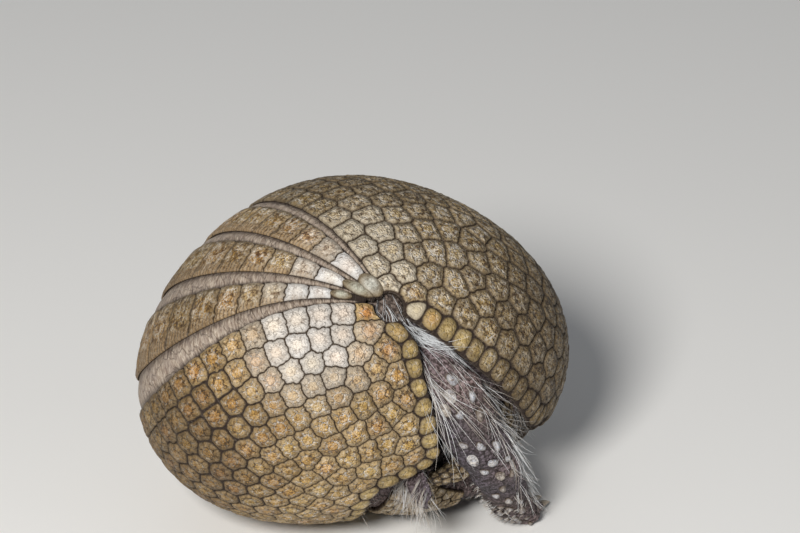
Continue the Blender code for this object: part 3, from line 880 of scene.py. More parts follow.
class ScuteBuilder:
    """Collects scutes, each a closed domed block of horn, into one mesh with what its material reads."""

    def __init__(self, project, foot=SCUTE_FOOT):
        self.project = project
        self.foot = foot
        self.faces = []
        self.found = {name: [] for name in ("points", *SCUTE_NUMBERS, *SCUTE_VECTORS, *SCUTE_COLOURS)}
        self.count = 0

    def rings(self, loop, up, centre, reach, step, gape):
        """A scute's rings from its foot to near its centre: points, depth and distance from its edge."""
        rings = []
        for inset, rounding, depth in SCUTE_EDGE:
            rounded = round_off(loop, rounding + int(gape * 20.0))
            tangent = np.roll(rounded, -1, axis=0) - np.roll(rounded, 1, axis=0)
            inward = unit(np.cross(up, tangent))
            rings.append((rounded + inward * min(inset + gape, 0.3 * reach), depth or self.foot, inset))
        crown, depth, inset = rings[-1]
        inner = max(2, int(round(reach / step)) - 1)
        for k in range(1, inner):
            share = 1.0 - k / inner
            inwards = inset + (1.0 - share) * max(0.5, reach - inset)
            rings.append((centre + (crown - centre) * share, depth * share**1.5, inwards))
        return rings

    def add(
        self, loop, free, up, forward, colours, wear, number, furrow, step=0.8, gape=0.0, comb=0.0, shade=1.0
    ):
        """A scute over this outline, ccw seen from outside; colours are its rim and its middle colour.

        free is 0 where its edge meets another scute and up to 1 along a free edge. furrow is how deep its
        relief is, and step how far apart its inner rings are. gape draws its sides in and rounds it, so that
        skin shows round it. comb is how strong the row of teeth at its front edge is.
        """
        size = len(loop)
        centre = loop.mean(axis=0)
        lace = nearness(unit(centre), LACE_PLACES) if np.linalg.norm(centre) > 1.0 else 0.0
        reach = float(np.mean(np.linalg.norm(loop - centre, axis=1)))
        rings = self.rings(loop, up, centre, reach, step, gape)
        tops = np.concatenate([ring for ring, _, _ in rings] + [centre[None], centre[None]])
        depths = np.concatenate([np.full(size, d) for _, d, _ in rings] + [[0.0], [self.foot]])
        edges = np.concatenate([np.maximum(e, free * 0.55) for _, _, e in rings] + [[reach], [0.0]])
        offset = tops - centre
        across = offset @ np.cross(forward, up)
        along = offset @ forward
        chance = np.random.default_rng((number, 7))
        lobes = chance.integers(6, 10)
        phase = chance.uniform(0.0, 6.28)
        share = np.clip(np.hypot(across, along) / reach, 0.0, 1.0)
        raised = np.clip((edges - 0.35) / 0.8, 0.0, 1.0)
        relief = furrow * 0.12 * np.cos(lobes * np.arctan2(along, across) + phase) * share * raised
        relief += (0.25 + furrow) * 0.13 * lumps(tops, 1.5, number % 97) * raised
        last = self.count + (len(rings) - 1) * size
        top = self.count + len(rings) * size
        self.faces += tube_faces(len(rings), size, self.count).tolist()
        self.faces += fan_faces(size, last, top).tolist()
        self.faces += fan_faces(size, self.count, top + 1)[:, [1, 0, 2]].tolist()
        self.count += len(tops)
        middle = 1.0 - share
        shift = chance.uniform(-40.0, 40.0, 3)
        rim_colour, middle_colour = (np.array(colour) for colour in colours)
        found = {
            "points": self.project(tops, depths - relief),
            "edge": edges,
            "middle": middle,
            "wear": np.full(len(tops), wear),
            "comb": comb * smooth((along / np.max(along) - 0.30) / 0.22),
            "lace": np.full(len(tops), lace),
            "local": np.stack([across, along, np.zeros(len(across))], axis=1) + shift,
            "polar": np.stack([across, along, np.full(len(across), chance.uniform())], axis=1),
            "tint": mixed(rim_colour, middle_colour, smooth(middle * 1.25)[:, None]),
            "shade": np.tile(shade**SHADE_WARMTH, (len(tops), 1)),
        }
        for name, values in found.items():
            self.found[name].append(values)

    def finish(self, name, material, to_world_frame):
        found = {key: np.concatenate(values) for key, values in self.found.items()}
        piece = new_piece(name, to_world_frame(found["points"]), self.faces, [material])
        kinds = ((add_number, SCUTE_NUMBERS), (add_vector, SCUTE_VECTORS), (add_colour, SCUTE_COLOURS))
        for add, keys in kinds:
            for key in keys:
                add(piece, key, found[key])
        return piece


# ---- the layout of the scutes on each plate ----


def column_places(count):
    k = np.arange(count) + 0.5
    right = COLUMN_STEP * k + COLUMN_GAIN * k**3
    return np.concatenate([-right[::-1], right])


def front_shrink(feet):
    """Rows draw together towards the flanks."""
    return 1.0 - 0.24 * np.clip((feet - 45.0) / 35.0, 0.0, 1.15) ** 2


def rear_shrink(feet):
    return 1.0 - 0.0115 * np.clip(feet - 55.0, 0.0, 45.0)


def shield_seeds(plate, line, towards, first_rows, pitch, spacing, shrink, rim_side, rim):
    """Two rows along the bands, one along the free rim, and evened-out rows between them.

    line is where the rows start, and towards the way they go from it. rim is the rim row's inset and spacing.
    """
    other = "low" if rim_side == "high" else "high"
    rim_row = rim_seeds(plate.sides[rim_side], plate.sides[other], *rim)
    fixed = [seed for seed in rim_row if abs(latitude_of(seed)) < plate.end - 2.0]
    for number, distance in enumerate(first_rows):
        if spacing is None:
            feet = column_places(FRONT_COLUMNS)
        else:
            feet = evenly(spacing, distance, number % 2 == 1)
        row = row_of_seeds(line, towards, distance, shrink, feet)
        fixed = keep_apart(fixed, row[plate.inside(row)], LEAST_SPACING)
    count = len(fixed)
    seeds = fixed
    step = spacing or PLAIN_SPACING
    for number in range(2, 30):
        distance = first_rows[-1] + pitch * (number - 1)
        if distance > LAST_ROW_DISTANCE:
            break
        row = row_of_seeds(line, towards, distance, shrink, evenly(step, distance, number % 2 == 0))
        seeds = keep_apart(seeds, row[plate.inside(row)], 0.74 * step)
    samples = ball_samples(SAMPLES_ON_BALL)
    samples = samples[plate.inside(samples)]
    seeds = keep_apart(seeds, samples[::5], 0.80 * max(step, pitch))
    return relax(seeds, count, samples)


# ---- colours of the horn ----


def gap_to(directions, angle, latitude):
    """Millimetres over the shell from these directions to a place on it."""
    place = direction(angle, latitude)
    return np.arccos(np.clip(directions @ place, -1.0, 1.0)) * GAP_RADIUS


def gap_between(first, second):
    return float(np.linalg.norm(on_ball(first) - on_ball(second)))


def nearness(seed, places):
    """How much a scute here has of what these places have."""
    mirrored = np.abs(seed) * [1.0, 0.0, 0.0] + seed * [0.0, 1.0, 1.0]
    found = []
    for angle, latitude, reach, strength in places:
        found.append(strength * smooth(1.25 - gap_to(mirrored, angle, latitude) / reach))
    return float(max(found))


def mixed(first, second, share):
    return first * (1.0 - share) + second * share


def scute_colours(kind, seed, number, margin):
    """The rim and the middle colour of a scute, how far it is rubbed smooth, and its shade factor: a random
    tone times painted shade and painted light.
    """
    chance = np.random.default_rng((number, 3))
    swing = chance.uniform(-1.0, 1.0, 4)
    pale = nearness(seed, PALE_PLACES)
    gold = nearness(seed, GOLD_PLACES)
    # painted shade of the place where the scute lies
    dark = nearness(seed, PAINTED_SHADE_PLACES)
    broad = float(lumps(seed[None] * MEAN_RADIUS, 34.0, 5)[0])
    if kind == "pelvic":
        rim = mixed(TAN, OLIVE, 0.45 + 0.35 * broad + 0.15 * swing[0])
        middle = mixed(TAN, GOLD, 0.50 + 0.35 * swing[1])
        middle = mixed(middle, OLIVE, 0.15 + 0.20 * broad)
    else:
        rim = mixed(OCHRE, TAN, 0.55 + 0.3 * broad + 0.2 * swing[0])
        middle = mixed(GOLD, ORANGE, 0.30 + 0.30 * swing[1])
    if kind == "band":
        rim = rim * BAND_TONE
        middle = middle * BAND_TONE
    high = smooth((abs(float(latitude_of(seed))) - 50.0) / 14.0)
    if margin:
        share = 0.45 + 0.45 * high if kind == "pelvic" else 0.9
        rim = mixed(rim, YELLOW * 0.9, share)
        middle = mixed(middle, mixed(YELLOW * 1.2, GOLD, 0.3), share)
    cream = RUMP_CREAM if kind == "pelvic" else CREAM
    rim = mixed(rim, cream, min(1.0, 0.80 * pale))
    middle = mixed(middle, cream, min(1.0, 0.62 * pale))
    middle = mixed(middle, ORANGE, min(1.0, 0.80 * gold))
    rim = mixed(rim, GOLD, 0.60 * gold)
    # the shade factor: the scute's random tone, times painted shade and painted light
    shade = (1.0 + 0.14 * swing[2]) * (1.0 - 0.55 * dark) * (1.0 + nearness(seed, PAINTED_LIGHT_PLACES))
    wear = (0.40 if kind == "pelvic" else 0.55) * pale
    if margin:
        wear += 0.20 + 0.45 * high if kind == "pelvic" else 0.55
    return (rim, middle), min(0.8, wear), shade


# ---- materials ----


class Wire:
    """An output in a node tree. Sums with it make the maths nodes that do the same."""

    def __init__(self, socket):
        self.socket = socket
        self.tree = socket.id_data

    def __add__(self, other):
        return maths("ADD", self, other)

    def __sub__(self, other):
        return maths("SUBTRACT", self, other)

    def __mul__(self, other):
        return maths("MULTIPLY", self, other)

    def __truediv__(self, other):
        return maths("DIVIDE", self, other)

    def __abs__(self):
        return maths("ABSOLUTE", self)


def start_material(name):
    material = bpy.data.materials.new(name)
    material.use_nodes = True
    tree = material.node_tree
    return material, tree, tree.nodes["Principled BSDF"]


def node(tree, kind, **settings):
    made = tree.nodes.new(kind)
    for key, value in settings.items():
        setattr(made, key, value)
    return made


def feed(made, slot, value):
    """Links a wire to an input of a node, or sets the input to a plain value."""
    if isinstance(value, Wire):
        value.tree.links.new(value.socket, made.inputs[slot])
    else:
        made.inputs[slot].default_value = value


def attribute(tree, name, output="Fac"):
    """What the mesh carries under this name."""
    return Wire(node(tree, "ShaderNodeAttribute", attribute_name=name).outputs[output])


def maths(operation, first, second=None, clamp=False):
    tree = first.tree if isinstance(first, Wire) else second.tree
    made = node(tree, "ShaderNodeMath", operation=operation, use_clamp=clamp)
    feed(made, 0, first)
    if second is not None:
        feed(made, 1, second)
    return Wire(made.outputs[0])


def span(value, low, high, out_low=0.0, out_high=1.0):
    """Maps low to high of a value to out_low to out_high, held at both ends."""
    made = node(value.tree, "ShaderNodeMapRange")
    feed(made, "Value", value)
    for slot, number in (("From Min", low), ("From Max", high), ("To Min", out_low), ("To Max", out_high)):
        feed(made, slot, number)
    return Wire(made.outputs["Result"])


def blend(share, first, second, kind="MIX"):
    """Two colours mixed by a share of the second one."""
    tree = next(value.tree for value in (share, first, second) if isinstance(value, Wire))
    made = node(tree, "ShaderNodeMix", data_type="RGBA", blend_type=kind)
    for slot, value in ((0, share), (6, first), (7, second)):
        feed(made, slot, (*value, 1.0) if isinstance(value, tuple) else value)
    return Wire(made.outputs[2])


def scaled(vector, factors):
    made = node(vector.tree, "ShaderNodeVectorMath", operation="MULTIPLY")
    feed(made, 0, vector)
    feed(made, 1, factors)
    return Wire(made.outputs[0])


def split(value, kind="ShaderNodeSeparateXYZ"):
    made = node(value.tree, kind)
    feed(made, 0, value)
    return [Wire(output) for output in made.outputs]


def noise_of(vector, scale, detail=2.0, rough=0.5):
    made = node(vector.tree, "ShaderNodeTexNoise")
    for slot, value in (("Vector", vector), ("Scale", scale), ("Detail", detail), ("Roughness", rough)):
        feed(made, slot, value)
    return Wire(made.outputs["Fac"])


def cells_of(vector, scale):
    """A random number for each cell of a net of cells, and the distance to the net's lines."""
    found = []
    for feature, output in (("F1", "Color"), ("DISTANCE_TO_EDGE", "Distance")):
        made = node(vector.tree, "ShaderNodeTexVoronoi", feature=feature)
        feed(made, "Vector", vector)
        feed(made, "Scale", scale)
        found.append(Wire(made.outputs[output]))
    chance, seam = found
    return split(chance, "ShaderNodeSeparateColor")[0], seam


def finish_shader(shader, colour, roughness, specular):
    feed(shader, "Base Color", colour)
    feed(shader, "Roughness", roughness)
    feed(shader, "Specular IOR Level", specular)


def bumped(shader, height, depth):
    """Gives the shader a bump of this many metres from a height of 0 to 1."""
    made = node(height.tree, "ShaderNodeBump")
    for slot, value in (("Strength", 1.0), ("Distance", depth), ("Height", height)):
        feed(made, slot, value)
    feed(shader, "Normal", Wire(made.outputs["Normal"]))


def row_lines(tree, wobble):
    """How far each place is, in mm, from the furrows between the teeth at a band's front edge."""
    across = split(attribute(tree, "polar", "Vector"))[0] + wobble * 0.16
    return abs(maths("SINE", across * 2.3)) * 0.42


def lobe_lines(tree, wobble):
    """How far each place is, in mm, from the furrows that divide a scute into lobes round a middle one."""
    across, along, chance = split(attribute(tree, "polar", "Vector"))
    away = maths("SQRT", across * across + along * along)
    share = maths("SUBTRACT", 1.0, attribute(tree, "middle"))
    lobes = maths("FLOOR", span(chance, 0.0, 1.0, 6.0, 10.99))
    turn = maths("ARCTAN2", along, across) * (lobes * 0.5) + chance * 31.0 + wobble
    spoke = abs(maths("SINE", turn)) * (away * 2.0) / lobes
    spoke = spoke + span(share, 0.30, 0.42, 0.6, 0.0)
    ring = share - span(chance, 0.0, 1.0, 0.36, 0.52) + wobble * 0.09
    return maths("MINIMUM", spoke, abs(ring) * 4.0 + 0.07)


def specked(tint, speck):
    """The tint with dark and light flecks, where the speck is low and where it is high."""
    colour = blend(span(speck, 0.12, 0.50), blend(1.0, tint, FLECK_DARK, "MULTIPLY"), tint)
    return blend(span(speck, 0.60, 0.98), colour, blend(0.62, tint, FLECK_LIGHT))


def toothed(tree, colour, wobble, grain):
    """The colour with the row of teeth at a band's front edge."""
    teeth = blend(span(row_lines(tree, wobble), 0.05, 0.30), TOOTH_DARK, TOOTH_TAN)
    teeth = blend(span(grain, 0.48, 0.66, 0.0, 0.7), teeth, TOOTH_PALE)
    return blend(attribute(tree, "comb"), colour, teeth)


def horn_material(name, stretch, lobed, mottled, suture):
    """Scute horn: lobes and tubercles, pale or dark furrows, dark pits, a dark suture round each scute,
    painted shade on its domed sides, and the painted shade and light that each scute carries.

    stretch draws the tubercles out, lobed is how strong the furrows between lobes are, and mottled the rest.
    suture is how far in from a scute's edge the dark joint reaches; inside it runs a plainer rim.
    """
    material, tree, shader = start_material(name)
    local = scaled(attribute(tree, "local", "Vector"), stretch)
    edge = attribute(tree, "edge")
    rough_share = maths("SUBTRACT", 1.0, attribute(tree, "wear"), clamp=True)
    rough_share = rough_share * span(edge, suture, suture + 1.1, 0.35, 1.0)
    chance, seam = cells_of(local, TUBERCLE_SCALE)
    grain = noise_of(local, 1.25, 4.0, 0.66)
    broad = noise_of(local, 0.42)
    wobble = span(noise_of(local, 0.8), 0.2, 0.8, -1.3, 1.3)
    furrow = lobe_lines(tree, wobble)

    speck = chance * 0.52 + span(grain, 0.34, 0.66, -0.14, 0.54) + span(broad, 0.30, 0.70, -0.06, 0.20)
    speck = (speck - 0.5) * ((rough_share + 0.08) * mottled) + 0.5
    colour = specked(attribute(tree, "tint", "Color"), speck)
    line = span(seam, 0.04, 0.16, 0.62 * mottled, 0.0) * rough_share
    colour = blend(line, colour, blend(span(broad, 0.42, 0.58), NET_DARK, NET_PALE))
    line = span(furrow, 0.07, 0.26, lobed, 0.0) * rough_share
    pale_share = maths("ADD", span(broad, 0.46, 0.60), attribute(tree, "lace"), clamp=True)
    colour = blend(line, colour, blend(pale_share, FURROW_DARK, FURROW_PALE))
    colour = toothed(tree, colour, wobble, grain)
    colour = blend(span(grain, 0.30, 0.42, 0.85, 0.0) * rough_share, colour, PIT_BROWN)
    ragged = edge + span(grain, 0.3, 0.7, -0.12, 0.12)
    colour = blend(span(ragged, 0.24 * suture, suture, 1.0, 0.0), colour, SUTURE_BLACK)
    # painted shade, darker towards each scute's edge, in place of the shade of its dome
    colour = blend(span(ragged, 0.30, 2.0, 0.45, 0.0), colour, DOME_SHADE)
    # multiplies by each scute's shade factor: its random tone with painted shade and painted light
    colour = blend(1.0, colour, attribute(tree, "shade", "Color"), "MULTIPLY")
    finish_shader(shader, colour, span(speck, 0.5, 1.4, 0.58, 0.40), 0.45)

    height = span(seam, 0.0, 0.30) * 0.35 + grain * 0.8 + span(furrow, 0.0, 0.45, 0.0, 0.8 * lobed)
    bumped(shader, height * (rough_share + 0.12), HORN_BUMP)
    return material


def strip_material():
    """The smooth horn that slides under the plate in front, and the skin in the sutures."""
    material, tree, shader = start_material("strip_horn")
    local = attribute(tree, "local", "Vector")
    streaks = noise_of(scaled(local, (1.1, 0.26, 1.0)), 1.0, 3.0, 0.7)
    fine = noise_of(scaled(local, (2.6, 0.7, 1.0)), 1.0, 3.0, 0.65)
    broad = noise_of(scaled(local, (0.16, 0.3, 1.0)), 1.0)
    colour = blend(span(streaks, 0.36, 0.62), STRIP_DARK, STRIP_LIGHT)
    colour = blend(span(fine, 0.32, 0.46, 0.6, 0.0), colour, STRIP_FLECK_DARK)
    colour = blend(span(fine, 0.54, 0.68, 0.0, 0.6), colour, STRIP_FLECK_LIGHT)
    colour = blend(span(broad, 0.42, 0.62, 0.0, 0.35), colour, STRIP_GREY)
    across, along, _ = split(local)
    slant = across + along * 0.8 + span(noise_of(local, 0.35), 0.2, 0.8, -2.2, 2.2)
    fold = abs(maths("SINE", slant * 0.72))
    # painted shade along the bottoms of the folds
    colour = blend(span(fold, 0.02, 0.20, 0.6, 0.0), colour, STRIP_FOLD_SHADE)
    # painted shade by the strip's edges and under the lip of the plate in front, and the dark of the sutures
    under = attribute(tree, "under")
    joint_dark_and_shade = maths("ADD", under, span(streaks, 0.35, 0.65, 0.12, -0.12), clamp=True)
    colour = blend(joint_dark_and_shade * span(under, 0.0, 0.05), colour, STRIP_JOINT_AND_SHADE)
    finish_shader(shader, colour, span(under, 0.6, 1.0, 0.55, 0.95), 0.35)
    bumped(shader, streaks * 0.6 + fine * 0.4 + span(fold, 0.0, 0.30, 0.0, 0.25), STRIP_BUMP)
    return material


# ---- the plates ----


def grid_faces(rows, columns, base=0):
    i, j = np.meshgrid(np.arange(rows - 1), np.arange(columns - 1), indexing="ij")
    a = (base + i * columns + j).ravel()
    return np.stack([a, a + 1, a + columns + 1, a + columns], axis=1)


def closed_slab_faces(rows, columns):
    """Faces of a slab between two grids, the second one's points following the first one's."""
    below = rows * columns
    top = grid_faces(rows, columns)
    low = grid_faces(rows, columns, below)[:, ::-1]
    edge = list(range(columns))
    edge += [i * columns + columns - 1 for i in range(1, rows)]
    edge += [(rows - 1) * columns + j for j in range(columns - 2, -1, -1)]
    edge += [i * columns for i in range(rows - 2, 0, -1)]
    edge = np.array(edge)
    after = np.roll(edge, -1)
    wall = np.stack([after, edge, below + edge, below + after], axis=1)
    return np.concatenate([top, low, wall]).tolist()


def base_slab(name, stations_at, end, material):
    """The smooth plate under the scutes.

    stations_at(latitudes) lists, across the plate: angles, outer depth, inner depth, and how far the place
    lies under scutes or, along the strips, how much painted shade it has.
    """
    run = np.linspace(-end, end, int(end * 2.0 / 0.9) + 1)
    stations = stations_at(run)
    angles = np.stack([np.broadcast_to(s[0], run.shape) for s in stations], axis=1)
    outer = np.stack([np.broadcast_to(s[1], run.shape) for s in stations], axis=1)
    inner = np.array([s[2] for s in stations])
    under = np.stack([np.broadcast_to(s[3], run.shape) for s in stations], axis=1)
    rows, columns = angles.shape
    directions = direction(angles, run[:, None])
    folds = 0.16 * lumps((directions * MEAN_RADIUS).reshape(-1, 3) * [0.35, 1.0, 1.0], 3.2, 41)
    relief = np.where(under > 0.5, 0.0, folds.reshape(rows, columns))
    top = on_ball(directions, outer - relief)
    low = on_ball(directions, np.broadcast_to(inner, (rows, columns)))
    points = np.concatenate([top.reshape(-1, 3), low.reshape(-1, 3)])
    faces = closed_slab_faces(rows, columns)
    piece = new_piece(name, to_world(points), faces, [material])
    across = np.broadcast_to(np.radians(run)[:, None] * MEAN_RADIUS, (rows, columns))
    along = np.radians(angles) * MEAN_RADIUS * np.cos(np.radians(run))[:, None]
    local = np.stack([across, along, np.zeros((rows, columns))], axis=-1).reshape(-1, 3)
    add_vector(piece, "local", np.concatenate([local, local]))
    # the strip is also made darker towards the plate's ends at the flanks
    near_flank = smooth((np.abs(run) - end + 4.5) / 2.5)
    covered = np.maximum(under, near_flank[:, None]).ravel()
    add_number(piece, "under", np.concatenate([covered, np.full(rows * columns, 0.6)]))
    return piece


def spread(start, end, count):
    return [start + (end - start) * k / count for k in range(1, count)]


def lip_base(edge):
    return [
        (edge + 0.35, SUTURE_FLOOR, LIP_DEPTH, 1.0),
        (edge + LIP_SPAN - 0.2, SUTURE_FLOOR, LIP_DEPTH, 1.0),
        (edge + LIP_SPAN, SUTURE_FLOOR, PLATE_DEPTH, 1.0),
    ]


def flange_base(ornament, hidden_edge):
    made = [
        (ornament - 0.9, SUTURE_FLOOR, PLATE_DEPTH, 1.0),
        (ornament - 0.5, SUTURE_FLOOR, PLATE_DEPTH, 1.0),
        (ornament - 0.3, FLANGE_DROP, PLATE_DEPTH, 1.0),
        (ornament + 0.2, FLANGE_DROP, PLATE_DEPTH, 0.6),
    ]
    start = ornament + 0.2
    in_sight = np.maximum(0.3, hidden_edge - UNDERLAP - start) / (hidden_edge - start)
    for share in np.linspace(0.0, 1.0, 19)[1:]:
        seen = share / in_sight
        ridge = STRIP_RIDGE * np.sin(math.pi * np.clip(seen, 0.0, 1.0))
        # painted shade along the strip: a dark line at the foot of its own scutes and a shadow under the lip
        # of the plate in front
        joint_dark_and_shade = 0.9 * np.exp(-seen * 8.0) + 0.85 * smooth((seen - 0.74) / 0.30)
        angle = start + (hidden_edge - start) * share
        made.append((angle, FLANGE_DROP - ridge, PLATE_DEPTH, np.minimum(joint_dark_and_shade, 1.0)))
    return made


def rim_base(edge, towards):
    return [
        (edge + towards * 0.15, 1.25, PLATE_DEPTH - 0.7, 1.0),
        (edge + towards * 0.9, SUTURE_FLOOR, PLATE_DEPTH, 1.0),
        (edge + towards * 2.4, SUTURE_FLOOR, PLATE_DEPTH, 1.0),
    ]


def middle_base(start, end, count):
    return [(angle, SUTURE_FLOOR, PLATE_DEPTH, 1.0) for angle in spread(start, end, count)]


def front_base(latitude):
    lip = lip_base(line_angle(FRONT_SHIELD_REAR, latitude))
    rim = rim_base(front_rim(latitude), -1.0)[::-1]
    return lip + middle_base(lip[-1][0], rim[0][0], 40) + rim


def rear_base(latitude):
    rim = rim_base(rim_angle(REAR_SHIELD_RIM, TAIL_NOTCH, latitude), 1.0)
    hidden = line_angle(BAND_EDGES[2][1], latitude) + UNDERLAP
    flange = flange_base(line_angle(REAR_SHIELD_FRONT, latitude), hidden)
    return rim + middle_base(rim[-1][0], flange[0][0], 56) + flange


def band_base(number):
    front, rear = BAND_EDGES[number]
    covered_by = FRONT_SHIELD_REAR if number == 0 else BAND_EDGES[number - 1][1]

    def stations_at(latitude):
        lip = lip_base(line_angle(rear, latitude))
        flange = flange_base(line_angle(front, latitude), line_angle(covered_by, latitude) + UNDERLAP)
        return lip + middle_base(lip[-1][0], flange[0][0], 7) + flange

    return stations_at


def joined(name, pieces):
    """Several pieces as one, which keeps the name."""
    bpy.ops.object.select_all(action="DESELECT")
    for piece in pieces:
        piece.select_set(True)
    bpy.context.view_layer.objects.active = pieces[0]
    bpy.ops.object.join()
    pieces[0].name = name
    pieces[0].data.name = name
    return pieces[0]


def forward_at(seed):
    """Along the shell towards the animal's head, square to the radius."""
    angle = float(angle_of(seed, 180.0))
    latitude = float(latitude_of(seed))
    ahead = direction(angle + 1.0, latitude) - direction(angle - 1.0, latitude)
    return unit(ahead - seed * (ahead @ seed))


def add_scutes(builder, cells, kind, margin_of, furrow, first_number):
    for index, (outline, free, seed) in enumerate(cells):
        number = first_number + index
        margin = margin_of(seed)
        colours, wear, shade = scute_colours(kind, seed, number, margin)
        loop = on_ball(outline)
        gape = nearness(seed, GAPING_PLACES) if kind == "scapular" else 0.0
        if margin:
            loop = round_off(loop, 14)
        depth = furrow * (0.3 if margin else 1.0)
        builder.add(loop, free, seed, forward_at(seed), colours, wear, number, depth, gape=gape, shade=shade)


def finish_plate(name, builder, horn, base, node_name):
    scutes = builder.finish(name + "_scutes", horn, to_world)
    shell = joined(name, [scutes, base])
    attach(shell, "root")
    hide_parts(node_name)
    return shell


def front_shield(horn, strip):
    plate = Plate(
        lambda latitude: line_angle(FRONT_SHIELD_REAR, latitude),
        front_rim,
        FRONT_SHIELD_END,
        {"low": 0.9, "high": 1.7},
        {"low": 1.0, "high": 0.9},
        FRONT_JAG,
    )
    rows = (FRONT_ROWS, FRONT_ROW_PITCH, None)
    seeds = shield_seeds(plate, FRONT_SHIELD_REAR, 1.0, *rows, front_shrink, "high", FRONT_RIM_SEEDS)

    def margin_of(seed):
        return gap_between(nearest_on(plate.sides["high"], seed), seed) < FRONT_MARGIN

    builder = ScuteBuilder(onto_ball)
    add_scutes(builder, plate.cells(seeds), "scapular", margin_of, 1.0, FRONT_NUMBERS)
    base = base_slab("scapular_base", front_base, FRONT_SHIELD_END, strip)
    return finish_plate("scapular_shell", builder, horn, base, "scapular_shield")


def rear_shield(horn, strip):
    plate = Plate(
        lambda latitude: rim_angle(REAR_SHIELD_RIM, TAIL_NOTCH, latitude),
        lambda latitude: line_angle(REAR_SHIELD_FRONT, latitude),
        REAR_SHIELD_END,
        {"low": 1.8, "high": 0.5},
        {"low": 0.9, "high": 0.8},
        REAR_JAG,
    )
    rows = (REAR_ROWS, REAR_ROW_PITCH, REAR_SPACING)
    seeds = shield_seeds(plate, REAR_SHIELD_FRONT, -1.0, *rows, rear_shrink, "low", REAR_RIM_SEEDS)

    def margin_of(seed):
        return gap_between(nearest_on(plate.sides["low"], seed), seed) < REAR_MARGIN

    builder = ScuteBuilder(onto_ball)
    add_scutes(builder, plate.cells(seeds), "pelvic", margin_of, 1.0, REAR_NUMBERS)
    base = base_slab("pelvic_base", rear_base, REAR_SHIELD_END, strip)
    return finish_plate("pelvic_shell", builder, horn, base, "pelvic_shield")


def band_outline(number, borders, column, front, rear):
    """The outline of one band scute: jagged sides, a straight front edge and a rounded rear edge."""
    low, high = borders[column], borders[column + 1]
    inner_ends = (column > 0, column < len(borders) - 2)
    sides = []
    for k, (latitude, inner) in enumerate(zip((low, high), inner_ends)):
        start, end = line_direction(rear, latitude), line_direction(front, latitude)
        jag = BAND_JAG if inner else 0.0
        sides.append(suture(start, end, jag, (BAND_SUTURE_NUMBERS + number, column + k)))
    right, left = sides
    steps = max(4, int(round((high - low) * 1.15 / SCUTE_STEP)))
    share = np.arange(steps) / steps
    across_front = line_direction(front, low + (high - low) * share)
    back_latitudes = high + (low - high) * share
    notch = 0.95 * np.abs(2.0 * share - 1.0) ** 3.5
    radius = MEAN_RADIUS * np.maximum(0.12, np.cos(np.radians(back_latitudes)))
    back_angles = line_angle(rear, back_latitudes) + np.degrees(notch / radius)
    across_back = direction(back_angles, back_latitudes)
    left_back = np.concatenate([[line_direction(front, high)], left[:0:-1]])
    loop = np.concatenate([right, across_front, left_back, across_back])
    free = np.zeros(len(loop))
    free[len(right) : len(right) + steps] = 0.8
    free[-steps:] = 1.0
    return loop, free


def band_tips(number, horn):
    """The smooth, rounded scute at each end of a band, lying over the band's last ordinary one."""
    front, rear = BAND_EDGES[number]
    latitude, half_long, half_wide = BAND_TIPS[number]
    foot = SCUTE_FOOT + BAND_TIP_PROUD
    builder = ScuteBuilder(lambda points, depth: onto_ball(points, depth - BAND_TIP_PROUD), foot)
    for sign in (-1.0, 1.0):
        angle = (line_angle(front, latitude) + line_angle(rear, latitude)) / 2.0
        seed = direction(angle, sign * latitude)
        ahead = forward_at(seed)
        side = np.cross(ahead, seed)
        turn = np.linspace(0.0, 2.0 * math.pi, 36, endpoint=False)
        offset = np.outer(np.cos(turn) * half_wide, ahead) + np.outer(np.sin(turn) * half_long, side)
        loop = on_ball(unit(seed + offset / ball_radius(seed)))
        if np.cross(loop[1] - loop[0], loop[2] - loop[1]) @ seed < 0.0:
            loop = loop[::-1]
        key = BAND_TIP_NUMBERS + number * 2 + int(sign > 0.0)
        middle = mixed(PALE_GREEN, CREAM, BAND_TIP_CREAM[number])
        colours = (middle * TIP_RIM_TONE, middle)
        builder.add(loop, np.full(len(loop), 0.25), seed, ahead, colours, 0.60, key, 0.6)
    return builder.finish(f"band_tips_{number + 1}", horn, to_world)


def band_borders(number, last):
    """Latitudes of the sutures between a band's scutes, out to the last on each side."""
    near_back, near_flank = BAND_COLUMNS[number]
    right = []
    latitude = 0.0
    while True:
        latitude += near_back if latitude < BACK_LATITUDE - 1.0 else near_flank
        if latitude > last - 0.6 * near_flank:
            break
        right.append(latitude)
    right = np.array(right + [last])
    return np.concatenate([-right[::-1], [0.0], right])


def band(number, horn, strip):
    front, rear = BAND_EDGES[number]
    latitude, half_long, _ = BAND_TIPS[number]
    last = latitude - math.degrees(half_long * 0.8 / HALF_WIDTH)
    borders = band_borders(number, last)
    builder = ScuteBuilder(onto_ball)
    for column in range(len(borders) - 1):
        outline, free = band_outline(number, borders, column, front, rear)
        seed = unit(outline.mean(axis=0))
        key = BAND_NUMBERS + 100 * number + column
        colours, wear, shade = scute_colours("band", seed, key, False)
        comb = 0.85 * smooth((68.0 - abs(float(latitude_of(seed)))) / 13.0) * (1.0 - wear)
        ahead = forward_at(seed)
        builder.add(on_ball(outline), free, seed, ahead, colours, wear, key, 0.8, comb=comb, shade=shade)
    tips = band_tips(number, horn)
    base = base_slab(f"band_base_{number + 1}", band_base(number), BAND_ENDS[number], strip)
    rest = joined(f"band_rest_{number + 1}", [base, tips])
    return finish_plate(f"band_shell_{number + 1}", builder, horn, rest, f"band_{number + 1}")


# ---- flesh: one skin over the trunk, head, ears and limbs ----


def smooth_union(first, second, reach):
    share = np.clip(0.5 + 0.5 * (second - first) / reach, 0.0, 1.0)
    return mixed(second, first, share) - reach * share * (1.0 - share)


def smooth_cut(body, cutter, reach):
    return -smooth_union(-body, cutter, reach)


